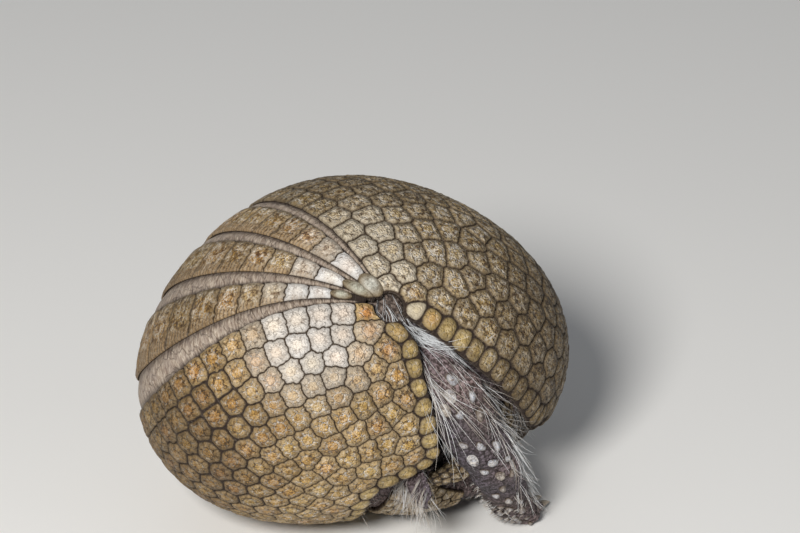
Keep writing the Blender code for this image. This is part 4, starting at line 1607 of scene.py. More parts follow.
def pouch(angle, latitude):
    """How far the belly is drawn in below the shell in the opening between the shields."""
    widening = np.cos(np.radians(latitude)) ** 2
    centre = POUCH_CENTRE[0] + POUCH_CENTRE[1] * widening
    reach = POUCH_REACH[0] + POUCH_REACH[1] * widening
    depth = POUCH_DEPTH[0] + POUCH_DEPTH[1] * widening
    away = (angle - centre + 180.0) % 360.0 - 180.0
    fade = smooth((POUCH_FADE[0] - np.abs(latitude)) / POUCH_FADE[1])
    return depth * fade * smooth(1.5 * (1.0 - np.abs(away) / reach))


def trunk_distance(points):
    ball = to_ball(points)
    radius = np.maximum(1.0, np.linalg.norm(ball, axis=1))
    directions = ball / radius[:, None]
    latitude = latitude_of(directions)
    angle = angle_of(directions, OPENING_ANGLE)
    depth = TRUNK_DEPTH + pouch(angle, latitude)
    depth -= (TRUNK_DEPTH - FLANK_PATCH_DEPTH) * smooth((np.abs(latitude) - 80.0) / 7.0)
    folds = 0.5 * lumps(ball * [0.25, 1.0, 1.0], 5.0, 21)
    body = radius - (ball_radius(directions) - depth) - folds * smooth(pouch(angle, latitude) / 6.0)
    opening = direction(OPENING_ANGLE, 0.0)
    return np.maximum(0.9 * body, HIDDEN_CUT - ball @ opening)


def head_frame():
    """Nape, length, and unit vectors along the head, to the animal's left and out of its crown."""
    nape = to_world(np.array(NAPE))
    axis = to_world(np.array(SNOUT)) - nape
    length = float(np.linalg.norm(axis))
    axis = axis / length
    left = AXES @ np.array([1.0, 0.0, 0.0])
    left = unit(left - axis * (left @ axis))
    crown = np.cross(left, axis)
    if crown @ (AXES @ np.array([0.0, 0.0, -1.0])) < 0.0:
        crown = -crown
    return nape, length, axis, left, crown


HEAD_NAPE, HEAD_LENGTH, HEAD_AXIS, HEAD_LEFT, HEAD_CROWN = head_frame()


def on_head_axis(share):
    return HEAD_NAPE + HEAD_AXIS * HEAD_LENGTH * share


def head_size(share):
    """Half width, height above and depth below the axis, this far along the head."""
    return [np.interp(share, HEAD_PROFILE[:, 0], HEAD_PROFILE[:, k]) for k in (1, 2, 3)]


def head_surface(share, angle, proud):
    """Points of the head's surface. The angle runs from the crown over the left side to the chin."""
    half_width, above, below = head_size(share)
    turn = np.radians(angle)
    high = np.where(np.cos(turn) > 0.0, above, below)
    sideways = (half_width + proud) * np.sin(turn)
    upwards = (high + proud) * np.cos(turn)
    forwards = np.asarray(share, float) * HEAD_LENGTH
    place = HEAD_NAPE + forwards[..., None] * HEAD_AXIS
    return place + sideways[..., None] * HEAD_LEFT + upwards[..., None] * HEAD_CROWN


def head_point(share, angle, proud=0.0):
    return head_surface(np.array([share]), np.array([angle]), np.array([proud]))[0]


def head_local(points):
    """How far points lie to the head's left, along it and out of its crown."""
    offset = points - HEAD_NAPE
    return offset @ HEAD_LEFT, offset @ HEAD_AXIS, offset @ HEAD_CROWN


def ellipsoid(points, centre, axes, sizes):
    """Distance to an ellipsoid with these unit axes as rows."""
    local = (points - centre) @ np.asarray(axes).T / np.asarray(sizes)
    return (np.linalg.norm(local, axis=1) - 1.0) * min(sizes)


def tube(points, start, end, start_radius, end_radius):
    axis = end - start
    share = np.clip((points - start) @ axis / (axis @ axis), 0.0, 1.0)
    radius = start_radius + (end_radius - start_radius) * share
    return np.linalg.norm(points - start - axis * share[:, None], axis=1) - radius


def head_distance(points):
    left, along, crown = head_local(points)
    share = along / HEAD_LENGTH
    half_width, above, below = head_size(share)
    high = np.where(crown > 0.0, above, below)
    around = np.hypot(left / half_width, crown / high)
    side = (around - 1.0) * np.minimum(half_width, high)
    folds = 0.35 * np.sin(along * 1.15 + 0.22 * crown) * smooth((0.16 - share) / 0.12)
    return -smooth_union(-(side - folds), (1.0 - share) * HEAD_LENGTH, 2.2)


def eye_centre(side):
    sign = 1.0 if side == "left" else -1.0
    return head_point(EYE_PLACE, sign * EYE_ANGLE, -EYE_SUNK)


def eye_axes(side):
    """Along the head, along the lids' height, and out of the eye."""
    out = eye_centre(side) - on_head_axis(EYE_PLACE)
    out = unit(out - HEAD_AXIS * (out @ HEAD_AXIS) + HEAD_AXIS * 1.5)
    along = unit(HEAD_AXIS - out * (HEAD_AXIS @ out))
    return along, np.cross(out, along), out


def ear_frame(side):
    place, angle, vector, facing = EARS[side]
    root = head_point(place, angle, EAR_STANDOFF)
    reach = AXES @ np.array(vector)
    across = unit(np.cross(AXES @ np.array(facing), reach))
    face = unit(np.cross(reach, across))
    return root, reach, across, face


def ear_distance(points, side, swell):
    root, reach, across, face = ear_frame(side)
    length = float(np.linalg.norm(reach))
    offset = points - root
    along = offset @ reach / length**2
    held = np.clip(along, 0.0, 1.0)
    half = EAR_HALF_WIDTH * np.sin(math.pi * (0.12 + 0.8 * held)) ** 0.7
    sideways = offset @ across
    share = np.clip(sideways / half, -1.2, 1.2)
    cup = EAR_CUP * share**2 * (1.0 - 0.4 * held)
    thick = EAR_THICKNESS * (1.0 - 0.35 * np.abs(share)) * (1.0 - 0.25 * held)
    sheet = np.abs(offset @ face - cup) - thick / 2.0 - swell
    border = np.maximum(np.abs(sideways) - half, (along - 1.0) * length)
    border = np.maximum(border, (-0.3 - along) * length)
    return -smooth_union(-sheet, -border, 1.0)


def limb_rings(name):
    """A limb's rings in the world's frame: centre, half width, half thickness."""
    if name == "hindleg_left":
        return [(to_world(np.array(ring[:3])), ring[3], ring[4]) for ring in TUCKED_HINDLEG_RINGS]
    return [(BALL_CENTRE + np.array(ring[:3]), ring[3], ring[4]) for ring in LIMB_RINGS[name]]


def limb_length(name):
    rings = limb_rings(name)
    return sum(float(np.linalg.norm(end[0] - start[0])) for start, end in zip(rings, rings[1:]))


def limb_width_axes(name):
    if name == "hindleg_left":
        across = AXES @ np.array([0.35, 0.0, 1.0])
        return across, across
    if name == "foreleg_left":
        return np.array([0.86, 0.24, 0.45]), np.array([0.92, -0.4, 0.0])
    across = np.array([0.0, 1.0, 0.0])
    return across, across


def limb_stations(rings, axes):
    """Rings with the way each one's width runs."""
    centres = [ring[0] for ring in rings]
    made = []
    for index, (centre, half_wide, half_thick) in enumerate(rings):
        along = centres[min(len(centres) - 1, index + 1)] - centres[max(0, index - 1)]
        turned = float(smooth((index / (len(rings) - 1) - 0.45) / 0.45))
        wide = mixed(axes[0], axes[1], turned)
        along = unit(along)
        made.append((centre, unit(wide - along * (wide @ along)), half_wide, half_thick))
    return made


def swept_distance(points, start, end):
    """Distance to a body swept from one oval station to the next."""
    axis = end[0] - start[0]
    length = float(np.linalg.norm(axis))
    heading = axis / length
    share = np.clip((points - start[0]) @ heading / length, 0.0, 1.0)
    wide = unit(start[1] + (end[1] - start[1]) * share[:, None])
    thick = unit(np.cross(heading, wide))
    half_wide = start[2] + (end[2] - start[2]) * share
    half_thick = start[3] + (end[3] - start[3]) * share
    offset = points - start[0] - axis * share[:, None]
    least = np.minimum(half_wide, half_thick)
    around = np.sqrt(
        (np.sum(offset * wide, axis=1) / half_wide) ** 2
        + (np.sum(offset * thick, axis=1) / half_thick) ** 2
        + (offset @ heading / least) ** 2
    )
    return (around - 1.0) * least


def claw_places(limb_name):
    """Root, heading, way down, length and half thickness of each claw of a foot."""
    count, half_spread, length, half_thick = CLAW_SETS[limb_name]
    rings = limb_rings(limb_name)
    tip = rings[-1][0]
    along = unit(tip - rings[-2][0])
    across = limb_width_axes(limb_name)[1]
    across = unit(across - along * (across @ along))
    down = unit(np.cross(along, across))
    if down[2] > 0.0:
        down = -down
    middle = (count - 1) / 2.0
    made = []
    for k in range(count):
        offset = (k - middle) / middle
        size = 1.0 - 0.38 * abs(offset) ** 1.5
        root = tip + across * half_spread * offset + along * CLAW_STANDOFF
        heading = unit(along + across * 0.22 * offset)
        made.append((root, heading, down, length * size, half_thick * (0.75 + 0.25 * size)))
    return made


def lids_distance(points, centre):
    return np.linalg.norm(points - centre, axis=1) - EYE_RADIUS - LID_THICKNESS


def flesh_parts():
    """(distance function, centre, reach, softness) of each part that is joined to the trunk."""
    parts = [(head_distance, on_head_axis(0.4), 52.0, 3.0)]
    for side in ("left", "right"):
        lids = eye_centre(side)
        parts.append((lambda p, c=lids: lids_distance(p, c), lids, 7.0, 1.2))
    for name in LIMBS:
        stations = limb_stations(limb_rings(name), limb_width_axes(name))
        for start, end in zip(stations, stations[1:]):
            middle = (start[0] + end[0]) / 2.0
            reach = max(start[2], end[2]) + float(np.linalg.norm(end[0] - start[0])) + 4.0
            parts.append((lambda p, a=start, b=end: swept_distance(p, a, b), middle, reach, 2.0))
        for root, heading, down, _, half_thick in claw_places(name):
            knuckle = root - heading * 5.0 - down * 1.2
            middle = root - heading * 2.5
            radius = half_thick + 0.75
            parts.append((lambda p, a=knuckle, b=root, r=radius: tube(p, a, b, r, r - 0.1), middle, 9.0, 0.7))
    return parts


FLESH_PARTS = flesh_parts()


def carve_face(points, body):
    """Opens the eye sockets, the nostrils and the mouth."""
    for side in ("left", "right"):
        centre = eye_centre(side)
        body = np.maximum(body, EYE_RADIUS + 0.1 - np.linalg.norm(points - centre, axis=1))
        along, lid, out = eye_axes(side)
        socket = ellipsoid(points, centre + out * EYE_RADIUS, (along, lid, out), SOCKET_SIZES)
        body = smooth_cut(body, socket, 0.8)
    for sign in (-1.0, 1.0):
        nostril = on_head_axis(1.0) + HEAD_LEFT * sign * 2.0 + HEAD_CROWN * 0.9 + HEAD_AXIS * 0.2
        nostril_axes = (HEAD_AXIS, HEAD_LEFT, HEAD_CROWN)
        body = smooth_cut(body, ellipsoid(points, nostril, nostril_axes, NOSTRIL_SIZES), 0.4)
        corners = [head_point(share, sign * MOUTH_ANGLE, 0.1) for share in MOUTH_PLACES]
        for start, end in zip(corners, corners[1:]):
            body = smooth_cut(body, tube(points, start, end, MOUTH_RADIUS, MOUTH_RADIUS), 0.5)
    return body


def flesh_distance(points, swell=0.0):
    """Signed distance from world points to the skin, below 0 inside. swell thickens the ears."""
    body = trunk_distance(points)
    for distance, centre, reach, softness in FLESH_PARTS:
        near = np.max(np.abs(points - centre), axis=1) < reach
        if near.any():
            body[near] = smooth_union(body[near], distance(points[near]), softness)
    for side in ("left", "right"):
        root, reach, _, _ = ear_frame(side)
        near = np.linalg.norm(points - root - reach * 0.5, axis=1) < 17.0
        if near.any():
            body[near] = smooth_union(body[near], ear_distance(points[near], side, swell), 1.0)
    near = np.linalg.norm(points - on_head_axis(0.75), axis=1) < 30.0
    if near.any():
        body[near] = carve_face(points[near], body[near])
    return body


def surface_net(field, origin, step):
    """Points and quads of the surface where a field on a grid passes 0."""
    inside = field < 0.0
    shape = np.array(field.shape) - 1
    corner_steps = [(i, j, k) for i in (0, 1) for j in (0, 1) for k in (0, 1)]

    def at(values, corner):
        i, j, k = corner
        return values[i : i + shape[0], j : j + shape[1], k : k + shape[2]]

    filled = sum(at(inside, corner).astype(np.int8) for corner in corner_steps)
    active = (filled > 0) & (filled < 8)
    number = np.full(tuple(shape), -1, np.int64)
    number[active] = np.arange(int(active.sum()))
    cells = np.argwhere(active)
    total = np.zeros((len(cells), 3))
    count = np.zeros(len(cells))
    values = {corner: at(field, corner)[active] for corner in corner_steps}
    for first in corner_steps:
        for axis in range(3):
            if first[axis]:
                continue
            second = tuple(1 if k == axis else first[k] for k in range(3))
            a, b = values[first], values[second]
            crossing = (a < 0.0) != (b < 0.0)
            share = np.where(crossing, a / np.where(crossing, a - b, 1.0), 0.0)
            place = np.tile(np.array(first, float), (len(cells), 1))
            place[:, axis] += share
            total += place * crossing[:, None]
            count += crossing
    points = origin + (cells + total / count[:, None]) * step
    quads = []
    for axis in range(3):
        one, two = (axis + 1) % 3, (axis + 2) % 3
        low = [slice(1, -1)] * 3
        high = [slice(1, -1)] * 3
        low[axis] = slice(0, -1)
        high[axis] = slice(1, None)
        here, there = inside[tuple(low)], inside[tuple(high)]
        places = np.argwhere(here != there)
        offset = np.ones(3, np.int64)
        offset[axis] = 0
        places = places + offset
        around = []
        for back_one, back_two in ((1, 1), (0, 1), (0, 0), (1, 0)):
            cell = places.copy()
            cell[:, one] -= back_one
            cell[:, two] -= back_two
            around.append(number[cell[:, 0], cell[:, 1], cell[:, 2]])
        quad = np.stack(around, axis=1)
        outward = here[tuple((places - offset).T)]
        quads.append(np.where(outward[:, None], quad, quad[:, ::-1]))
    return points, np.concatenate(quads)


def skin_field():
    """The flesh's distance on a grid, exact near its surface and coarse elsewhere, and the grid's corner."""
    low, high = np.array(SKIN_BOX)
    counts = np.ceil((high - low) / SKIN_STEP).astype(int) + 1
    axes = [low[k] + SKIN_STEP * np.arange(counts[k]) for k in range(3)]
    grid = np.stack(np.meshgrid(*axes, indexing="ij"), axis=-1).reshape(-1, 3)
    grid_shape = tuple(counts)
    coarse = grid.reshape(*grid_shape, 3)[::FIELD_STRIDE, ::FIELD_STRIDE, ::FIELD_STRIDE]
    rough = flesh_distance(coarse.reshape(-1, 3), EAR_SWELL).reshape(coarse.shape[:3])
    places = [(np.arange(n) + FIELD_STRIDE // 2) // FIELD_STRIDE for n in grid_shape]
    places = [np.minimum(place, size - 1) for place, size in zip(places, rough.shape)]
    field = rough[np.ix_(*places)].ravel()
    close = np.abs(field) < FIELD_STRIDE * SKIN_STEP
    parts = np.array_split(grid[close], FIELD_PARTS)
    field[close] = np.concatenate([flesh_distance(part, EAR_SWELL) for part in parts])
    return field.reshape(grid_shape), low


def flesh_normal(points, step=0.15):
    """The way out of the flesh at these points, and their distance from its surface."""
    corners = ((1, -1, -1), (-1, -1, 1), (-1, 1, -1), (1, 1, 1))
    slope = np.zeros_like(points)
    here = np.zeros(len(points))
    for corner in corners:
        found = flesh_distance(points + step * np.array(corner, float))
        here += found / 4.0
        slope += found[:, None] * np.array(corner, float) / (4.0 * step)
    size = np.maximum(1e-6, np.linalg.norm(slope, axis=1))
    return slope / size[:, None], here / size


def onto_flesh(points, depth=0.0, rounds=1):
    """Points moved onto the skin, or this far below it, and the way out of the flesh there."""
    points = np.array(points, float)
    for _ in range(rounds):
        normal, away = flesh_normal(points)
        points = points - normal * np.clip(away + depth, -1.5, 1.5)[:, None]
    return points, normal


def edge_key(first, second, count):
    return np.minimum(first, second) * count + np.maximum(first, second)


def refined(points, quads, others, chosen):
    """Splits the chosen quads in four. Faces beside them take in the new points on their edges."""
    total = len(points)
    split = quads[chosen]
    keys = edge_key(split, np.roll(split, -1, axis=1), total)
    unique, index = np.unique(keys, return_inverse=True)
    middles = total + index.reshape(keys.shape)
    centres = total + len(unique) + np.arange(len(split))
    new_points = (points[unique // total] + points[unique % total]) / 2.0
    points = np.concatenate([points, new_points, points[split].mean(axis=1)])
    quarters = [np.stack([split[:, k], middles[:, k], centres, middles[:, k - 1]], axis=1) for k in range(4)]
    kept = quads[~chosen]
    kept_keys = edge_key(kept, np.roll(kept, -1, axis=1), total)
    touched = np.isin(kept_keys, unique).any(axis=1)
    middle_of = {int(key): total + k for k, key in enumerate(unique)}
    loops = []
    for loop in [*kept[touched].tolist(), *others]:
        grown = []
        for k, corner in enumerate(loop):
            after = loop[(k + 1) % len(loop)]
            grown.append(corner)
            middle = middle_of.get(min(corner, after) * total + max(corner, after))
            if middle is not None:
                grown.append(middle)
        loops.append(grown)
    return points, np.concatenate([kept[~touched], *quarters]), loops


def refined_near(points, quads, others, middles, reach):
    away = np.min([np.linalg.norm(points - middle, axis=1) for middle in middles], axis=0)
    return refined(points, quads, others, away[quads[:, 0]] < reach)


def limb_share(points, name):
    """How far along a limb each point is, 0 to 1, and its distance from the limb's middle line."""
    centres = np.array([ring[0] for ring in limb_rings(name)])
    best = np.full(len(points), 1e9)
    share = np.zeros(len(points))
    for k in range(len(centres) - 1):
        axis = centres[k + 1] - centres[k]
        along = np.clip((points - centres[k]) @ axis / (axis @ axis), 0.0, 1.0)
        away = np.linalg.norm(points - centres[k] - along[:, None] * axis, axis=1)
        closer = away < best
        best[closer] = away[closer]
        share[closer] = (k + along[closer]) / (len(centres) - 1)
    return share, best


def skin_relief(points):
    """Depth of the wrinkles below the smooth flesh, and how creased each point is, which sets the painted
    shade in its creases.
    """
    depth = 0.10 * (1.0 + lumps(points, 1.7, 31)) + 0.10 * (1.0 + lumps(points, 3.4, 32))
    crease_shade = np.zeros(len(points))
    for name in LIMBS:
        share, away = limb_share(points, name)
        on_limb = smooth((13.0 - away) / 3.0)
        wave = np.sin(share * limb_length(name) / 2.6 * 2.0 * math.pi + 2.2 * lumps(points, 9.0, 33))
        fold = smooth(0.5 - 0.5 * wave) * (0.35 + 0.65 * smooth((share - 0.55) / 0.35))
        fold *= smooth((0.98 - share) / 0.06)
        depth += 0.34 * fold * on_limb
        crease_shade = np.maximum(crease_shade, fold * on_limb)
    left, along, crown = head_local(points)
    share = along / HEAD_LENGTH
    near_head = smooth((24.0 - np.hypot(left, crown)) / 5.0)
    muzzle = smooth((share - 0.45) / 0.2) * smooth((1.0 - share) / 0.06) * near_head
    around = np.degrees(np.arctan2(left, crown))
    rings_on_muzzle = smooth(0.5 - 0.5 * np.sin(along * 2.3 + 1.4 * lumps(points, 7.0, 34)))
    depth += 0.20 * rings_on_muzzle * muzzle * smooth((100.0 - np.abs(around)) / 30.0)
    crease_shade = np.maximum(crease_shade, 0.6 * rings_on_muzzle * muzzle)
    neck = smooth((0.12 - share) / 0.1) * near_head
    wave = smooth(0.5 - 0.5 * np.sin(along * 2.4 + 1.6 * lumps(points, 8.0, 35)))
    depth += 0.45 * wave * neck
    crease_shade = np.maximum(crease_shade, wave * neck)
    return depth, crease_shade


def skin_colours(points, crease_shade):
    ball = to_ball(points)
    radius = np.linalg.norm(ball, axis=1)
    directions = unit(ball)
    latitude = latitude_of(directions)
    colours = mixed(SKIN_BROWN, SKIN_PURPLE, smooth(0.5 + 0.7 * lumps(points, 14.0, 41))[:, None])
    drawn_in = pouch(angle_of(directions, OPENING_ANGLE), latitude)
    belly = smooth((radius - 20.0) / 10.0) * smooth(drawn_in / 8.0)
    pink = 0.45 * belly * smooth(0.5 + 0.6 * lumps(points, 18.0, 43))
    colours = mixed(colours, SKIN_PINK, pink[:, None])
    left, along, crown = head_local(points)
    share = along / HEAD_LENGTH
    head = smooth((share - 0.1) / 0.2) * smooth((22.0 - np.hypot(left, crown)) / 5.0)
    nose = smooth((share - 0.9) / 0.08) * head
    colours = colours * (1.0 - 0.25 * head[:, None])
    colours = mixed(colours, SKIN_PINK * 0.5, 0.6 * nose[:, None])
    for side in ("left", "right"):
        near_eye = smooth((6.5 - np.linalg.norm(points - eye_centre(side), axis=1)) / 2.2)
        colours = mixed(colours, SKIN_DARK, 0.55 * near_eye[:, None])
    pole = smooth((np.abs(latitude) - 78.0) / 5.0) * smooth((radius - 45.0) / 5.0)
    colours = mixed(colours, SKIN_POLE, pole[:, None])
    # painted shade in the creases
    return mixed(colours, SKIN_DARK, 0.55 * crease_shade[:, None])


def skin_material():
    material, tree, shader = start_material("bare_skin")
    place = attribute(tree, "local", "Vector")
    tint = attribute(tree, "tint", "Color")
    chance, seam = cells_of(place, PEBBLE_SCALE)
    grain = noise_of(place, 1.7, 4.0, 0.62)
    broad = noise_of(place, 0.30)
    blotch = noise_of(place, 0.85, 3.0, 0.62)
    dark = blend(1.0, tint, SKIN_DARKER, "MULTIPLY")
    light = blend(1.0, tint, SKIN_LIGHTER, "MULTIPLY")
    colour = blend(span(grain, 0.32, 0.66), dark, tint)
    colour = blend(span(chance, 0.35, 1.0, 0.0, 0.55), colour, light)
    colour = blend(span(seam, 0.03, 0.14, 0.7, 0.0), colour, dark)
    colour = blend(span(blotch, 0.50, 0.58, 0.0, 0.60), colour, light)
    colour = blend(span(blotch, 0.40, 0.49, 0.8, 0.0), colour, dark)
    colour = blend(span(broad, 0.45, 0.65, 0.0, 0.25), colour, light)
    finish_shader(shader, colour, 0.58, 0.38)
    bumped(shader, span(seam, 0.0, 0.25) * 0.6 + grain * 0.6, SKIN_BUMP)
    return material


def eyelids(side):
    """The lids of an eye, one closed ring over the eyeball: points, faces and how creased each point is."""
    turn = np.arange(LID_SIDES) * 2.0 * math.pi / LID_SIDES
    long = LID_OPENING[0] * np.cos(turn)
    high = LID_OPENING[1] * np.sin(turn)
    opening = np.arcsin(np.hypot(long, high) / EYE_RADIUS)[:, None]
    around = np.arctan2(high, long)[:, None]
    share, height, crease_shade = np.array(LID_SECTION).T
    polar = opening + (math.radians(LID_EDGE_ANGLE) - opening) * share
    local = np.stack([np.sin(polar) * np.cos(around), np.sin(polar) * np.sin(around), np.cos(polar)], axis=-1)
    local = local * (EYE_RADIUS + height)[None, :, None]
    points = eye_centre(side) + local.reshape(-1, 3) @ np.array(eye_axes(side))
    count = len(LID_SECTION)
    i, j = np.meshgrid(np.arange(LID_SIDES), np.arange(count), indexing="ij")
    after_i = (i + 1) % LID_SIDES * count
    after_j = (j + 1) % count
    faces = np.stack([i * count + j, i * count + after_j, after_i + after_j, after_i + j], axis=-1)
    return points, faces.reshape(-1, 4), np.tile(crease_shade, LID_SIDES)


def skin(material):
    field, low = skin_field()
    points, quads = surface_net(field + SKIN_INSET, low, SKIN_STEP)
    foreleg = [ring[0] for ring in limb_rings("foreleg_left")]
    fine_places = [eye_centre("left"), eye_centre("right"), on_head_axis(0.97)]
    others = []
    for middles, reach in (([on_head_axis(0.55)], 33.0), (foreleg[3:], 13.0), (fine_places, 7.5)):
        points, quads, others = refined_near(points, quads, others, middles, reach)
    smooth_points, normal = onto_flesh(points, SKIN_INSET)
    depth, crease_shade = skin_relief(smooth_points)
    shown = smooth_points - normal * depth[:, None]
    places = smooth_points
    faces = quads.tolist() + others
    for side in ("left", "right"):
        lids, lid_faces, lid_crease_shade = eyelids(side)
        faces += (lid_faces + len(places)).tolist()
        shown = np.concatenate([shown, lids])
        places = np.concatenate([places, lids])
        crease_shade = np.concatenate([crease_shade, lid_crease_shade])
    piece = new_piece("skin", shown, faces, [material])
    add_vector(piece, "local", places)
    add_colour(piece, "tint", skin_colours(places, crease_shade))
    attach(piece, "root")
    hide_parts(*FLESH_NODES)
    return smooth_points, normal


# ---- claws and eyes ----


def claw_shape(place, broad):
    """Points and faces of one claw, curved down to its tip; broad ones are flat like a hoof."""
    root, heading, down, length, half_thick = place
    side = unit(np.cross(heading, down))
    share = np.concatenate([[-0.30], np.linspace(-0.12, 0.97, CLAW_RINGS - 1)])
    turn = np.arange(CLAW_SIDES) * 2.0 * math.pi / CLAW_SIDES
    points = []
    for s in share:
        held = max(0.0, s)
        taper = (1.0 - held ** (2.6 if broad else 1.7)) ** (0.6 if broad else 0.9)
        wide = half_thick * (1.22 if broad else 0.86) * taper
        high = half_thick * (0.85 if broad else 1.08) * taper
        centre = root + heading * length * s + down * length * CLAW_DROOP * held**2
        lower = np.where(np.sin(turn) > 0.0, 0.72, 1.0)
        ring = centre + np.outer(wide * np.cos(turn), side) + np.outer(high * lower * np.sin(turn), down)
        points.append(ring)
    tip = root + heading * length + down * length * CLAW_DROOP
    count = len(share) * CLAW_SIDES
    faces = tube_faces(len(share), CLAW_SIDES).tolist()
    faces += fan_faces(CLAW_SIDES, count - CLAW_SIDES, count).tolist()
    faces.append(list(range(CLAW_SIDES))[::-1])
    points = np.concatenate([*points, tip[None]])
    along = np.append(np.repeat(share, CLAW_SIDES), 1.0)
    across = np.append(np.tile(np.cos(turn) * half_thick, len(share)), 0.0)
    deep = np.append(np.tile(np.sin(turn) * half_thick, len(share)), 0.0)
    local = np.stack([across, along * length, deep], axis=1)
    return points, faces, local, along


def claw_material():
    material, tree, shader = start_material("claw_horn")
    place = attribute(tree, "local", "Vector")
    streaks = noise_of(scaled(place, (2.6, 0.22, 2.6)), 1.0, 3.0, 0.6)
    colour = blend(span(attribute(tree, "along"), -0.05, 0.9), CLAW_ROOT, CLAW_TIP)
    colour = blend(span(streaks, 0.35, 0.65, 0.5, 0.0), colour, CLAW_STREAK)
    finish_shader(shader, colour, 0.36, 0.5)
    bumped(shader, streaks, CLAW_BUMP)
    return material


def claws(material):
    for name in LIMBS:
        points, faces, local, along = [], [], [], []
        base = 0
        kind = "claw" if name.startswith("foreleg") else "nail"
        places = claw_places(name)
        for place in places:
            one_points, one_faces, one_local, one_along = claw_shape(place, kind == "nail")
            points.append(one_points)
            faces += [[corner + base for corner in face] for face in one_faces]
            local.append(one_local + base * 0.37)
            along.append(one_along)
            base += len(one_points)
        piece = new_piece(f"{kind}s_{name}", np.concatenate(points), faces, [material])
        add_vector(piece, "local", np.concatenate(local))
        add_number(piece, "along", np.concatenate(along))
        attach(piece, "root")
        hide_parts(*[f"{kind}_{name}_{k + 1}" for k in range(len(places))])


def eye_material():
    material, tree, shader = start_material("eye_dark")
    out = attribute(tree, "out")
    fibres = noise_of(scaled(attribute(tree, "local", "Vector"), (1.6, 1.6, 0.3)), 2.0)
    colour = blend(span(out, 0.86, 0.90), blend(fibres, IRIS_DARK, IRIS_LIGHT), PUPIL_BLACK)
    colour = blend(span(out, 0.44, 0.54, 1.0, 0.0), colour, EYE_RIM)
    feed(shader, "Base Color", colour)
    feed(shader, "Roughness", 0.16)
    feed(shader, "Coat Weight", 1.0)
    feed(shader, "Coat Roughness", 0.03)
    return material


def eyes(material):
    rise = np.linspace(0.0, math.pi, EYE_RINGS)
    turn = np.arange(EYE_SIDES) * 2.0 * math.pi / EYE_SIDES
    for side in ("left", "right"):
        along, lid, out = eye_axes(side)
        rings = []
        for up in rise[1:-1]:
            height = np.full(EYE_SIDES, np.cos(up))
            rings.append(np.stack([np.sin(up) * np.cos(turn), np.sin(up) * np.sin(turn), height], axis=1))
        local = np.concatenate([*rings, [[0.0, 0.0, 1.0], [0.0, 0.0, -1.0]]])
        cornea = 1.0 + 0.035 * smooth((local[:, 2] - 0.72) / 0.28)
        points = eye_centre(side) + (local * (EYE_RADIUS * cornea)[:, None]) @ np.array([along, lid, out])
        top = len(rings) * EYE_SIDES
        faces = tube_faces(len(rings), EYE_SIDES)[:, [0, 3, 2, 1]].tolist()
        faces += fan_faces(EYE_SIDES, 0, top)[:, [2, 0, 1]].tolist()
        faces += fan_faces(EYE_SIDES, top - EYE_SIDES, top + 1)[:, [1, 0, 2]].tolist()
        piece = new_piece(f"eyeball_{side}", points, faces, [material])
        add_number(piece, "out", local[:, 2])
        add_vector(piece, "local", local * EYE_RADIUS)
        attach(piece, "root")
        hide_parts(f"eye_{side}")


# ---- head shield, tail and the small scutes of the limbs ----


def clipped(corners, middle, normal):
    """The part of a flat outline behind a line."""
    level = (corners - middle) @ normal
    kept = []
    for k in range(len(corners)):
        after = (k + 1) % len(corners)
        if level[k] <= 0.0:
            kept.append(corners[k])
        if (level[k] <= 0.0) != (level[after] <= 0.0):
            share = level[k] / (level[k] - level[after])
            kept.append(corners[k] + (corners[after] - corners[k]) * share)
    return np.array(kept)


def flat_cells(seeds, outline):
    """The outline of each seed's cell on a flat sheet with this outline."""
    made = []
    for seed in seeds:
        corners = outline
        order = np.argsort(np.linalg.norm(seeds - seed, axis=1))[1:14]
        for other in seeds[order]:
            corners = clipped(corners, (seed + other) / 2.0, other - seed)
            if len(corners) < 3:
                break
        if len(corners) >= 3:
            made.append(corners)
    return made


def resampled(corners, step):
    """A closed flat outline with points about this far apart, as (u, v, 0)."""
    ring = np.concatenate([corners, corners[:1]])
    lengths = np.linalg.norm(np.diff(ring, axis=0), axis=1)
    run = np.concatenate([[0.0], np.cumsum(lengths)])
    places = np.linspace(0.0, run[-1], max(10, int(run[-1] / step)), endpoint=False)
    u, v = (np.interp(places, run, ring[:, k]) for k in range(2))
    return np.stack([u, v, 0.0 * places], axis=1)


def head_shield_radius(along):
    """How many millimetres across a radian of the head's turn covers, this far along it."""
    half_width, above, _ = head_size(along / HEAD_LENGTH)
    return (half_width + above) / 2.0


def head_shield_half_angle(along):
    first, last = HEAD_SHIELD_RANGE
    share = (along / HEAD_LENGTH - first) / (last - first)
    return math.radians(HEAD_SHIELD_HALF_ANGLE) * (1.0 - 0.35 * share**2) * (0.6 + 0.4 * smooth(share / 0.25))


def onto_head_shield(points, depth):
    along = points[:, 1]
    angle = np.degrees(points[:, 0] / head_shield_radius(along))
    return head_surface(along / HEAD_LENGTH, angle, HEAD_SHIELD_THICKNESS - depth)


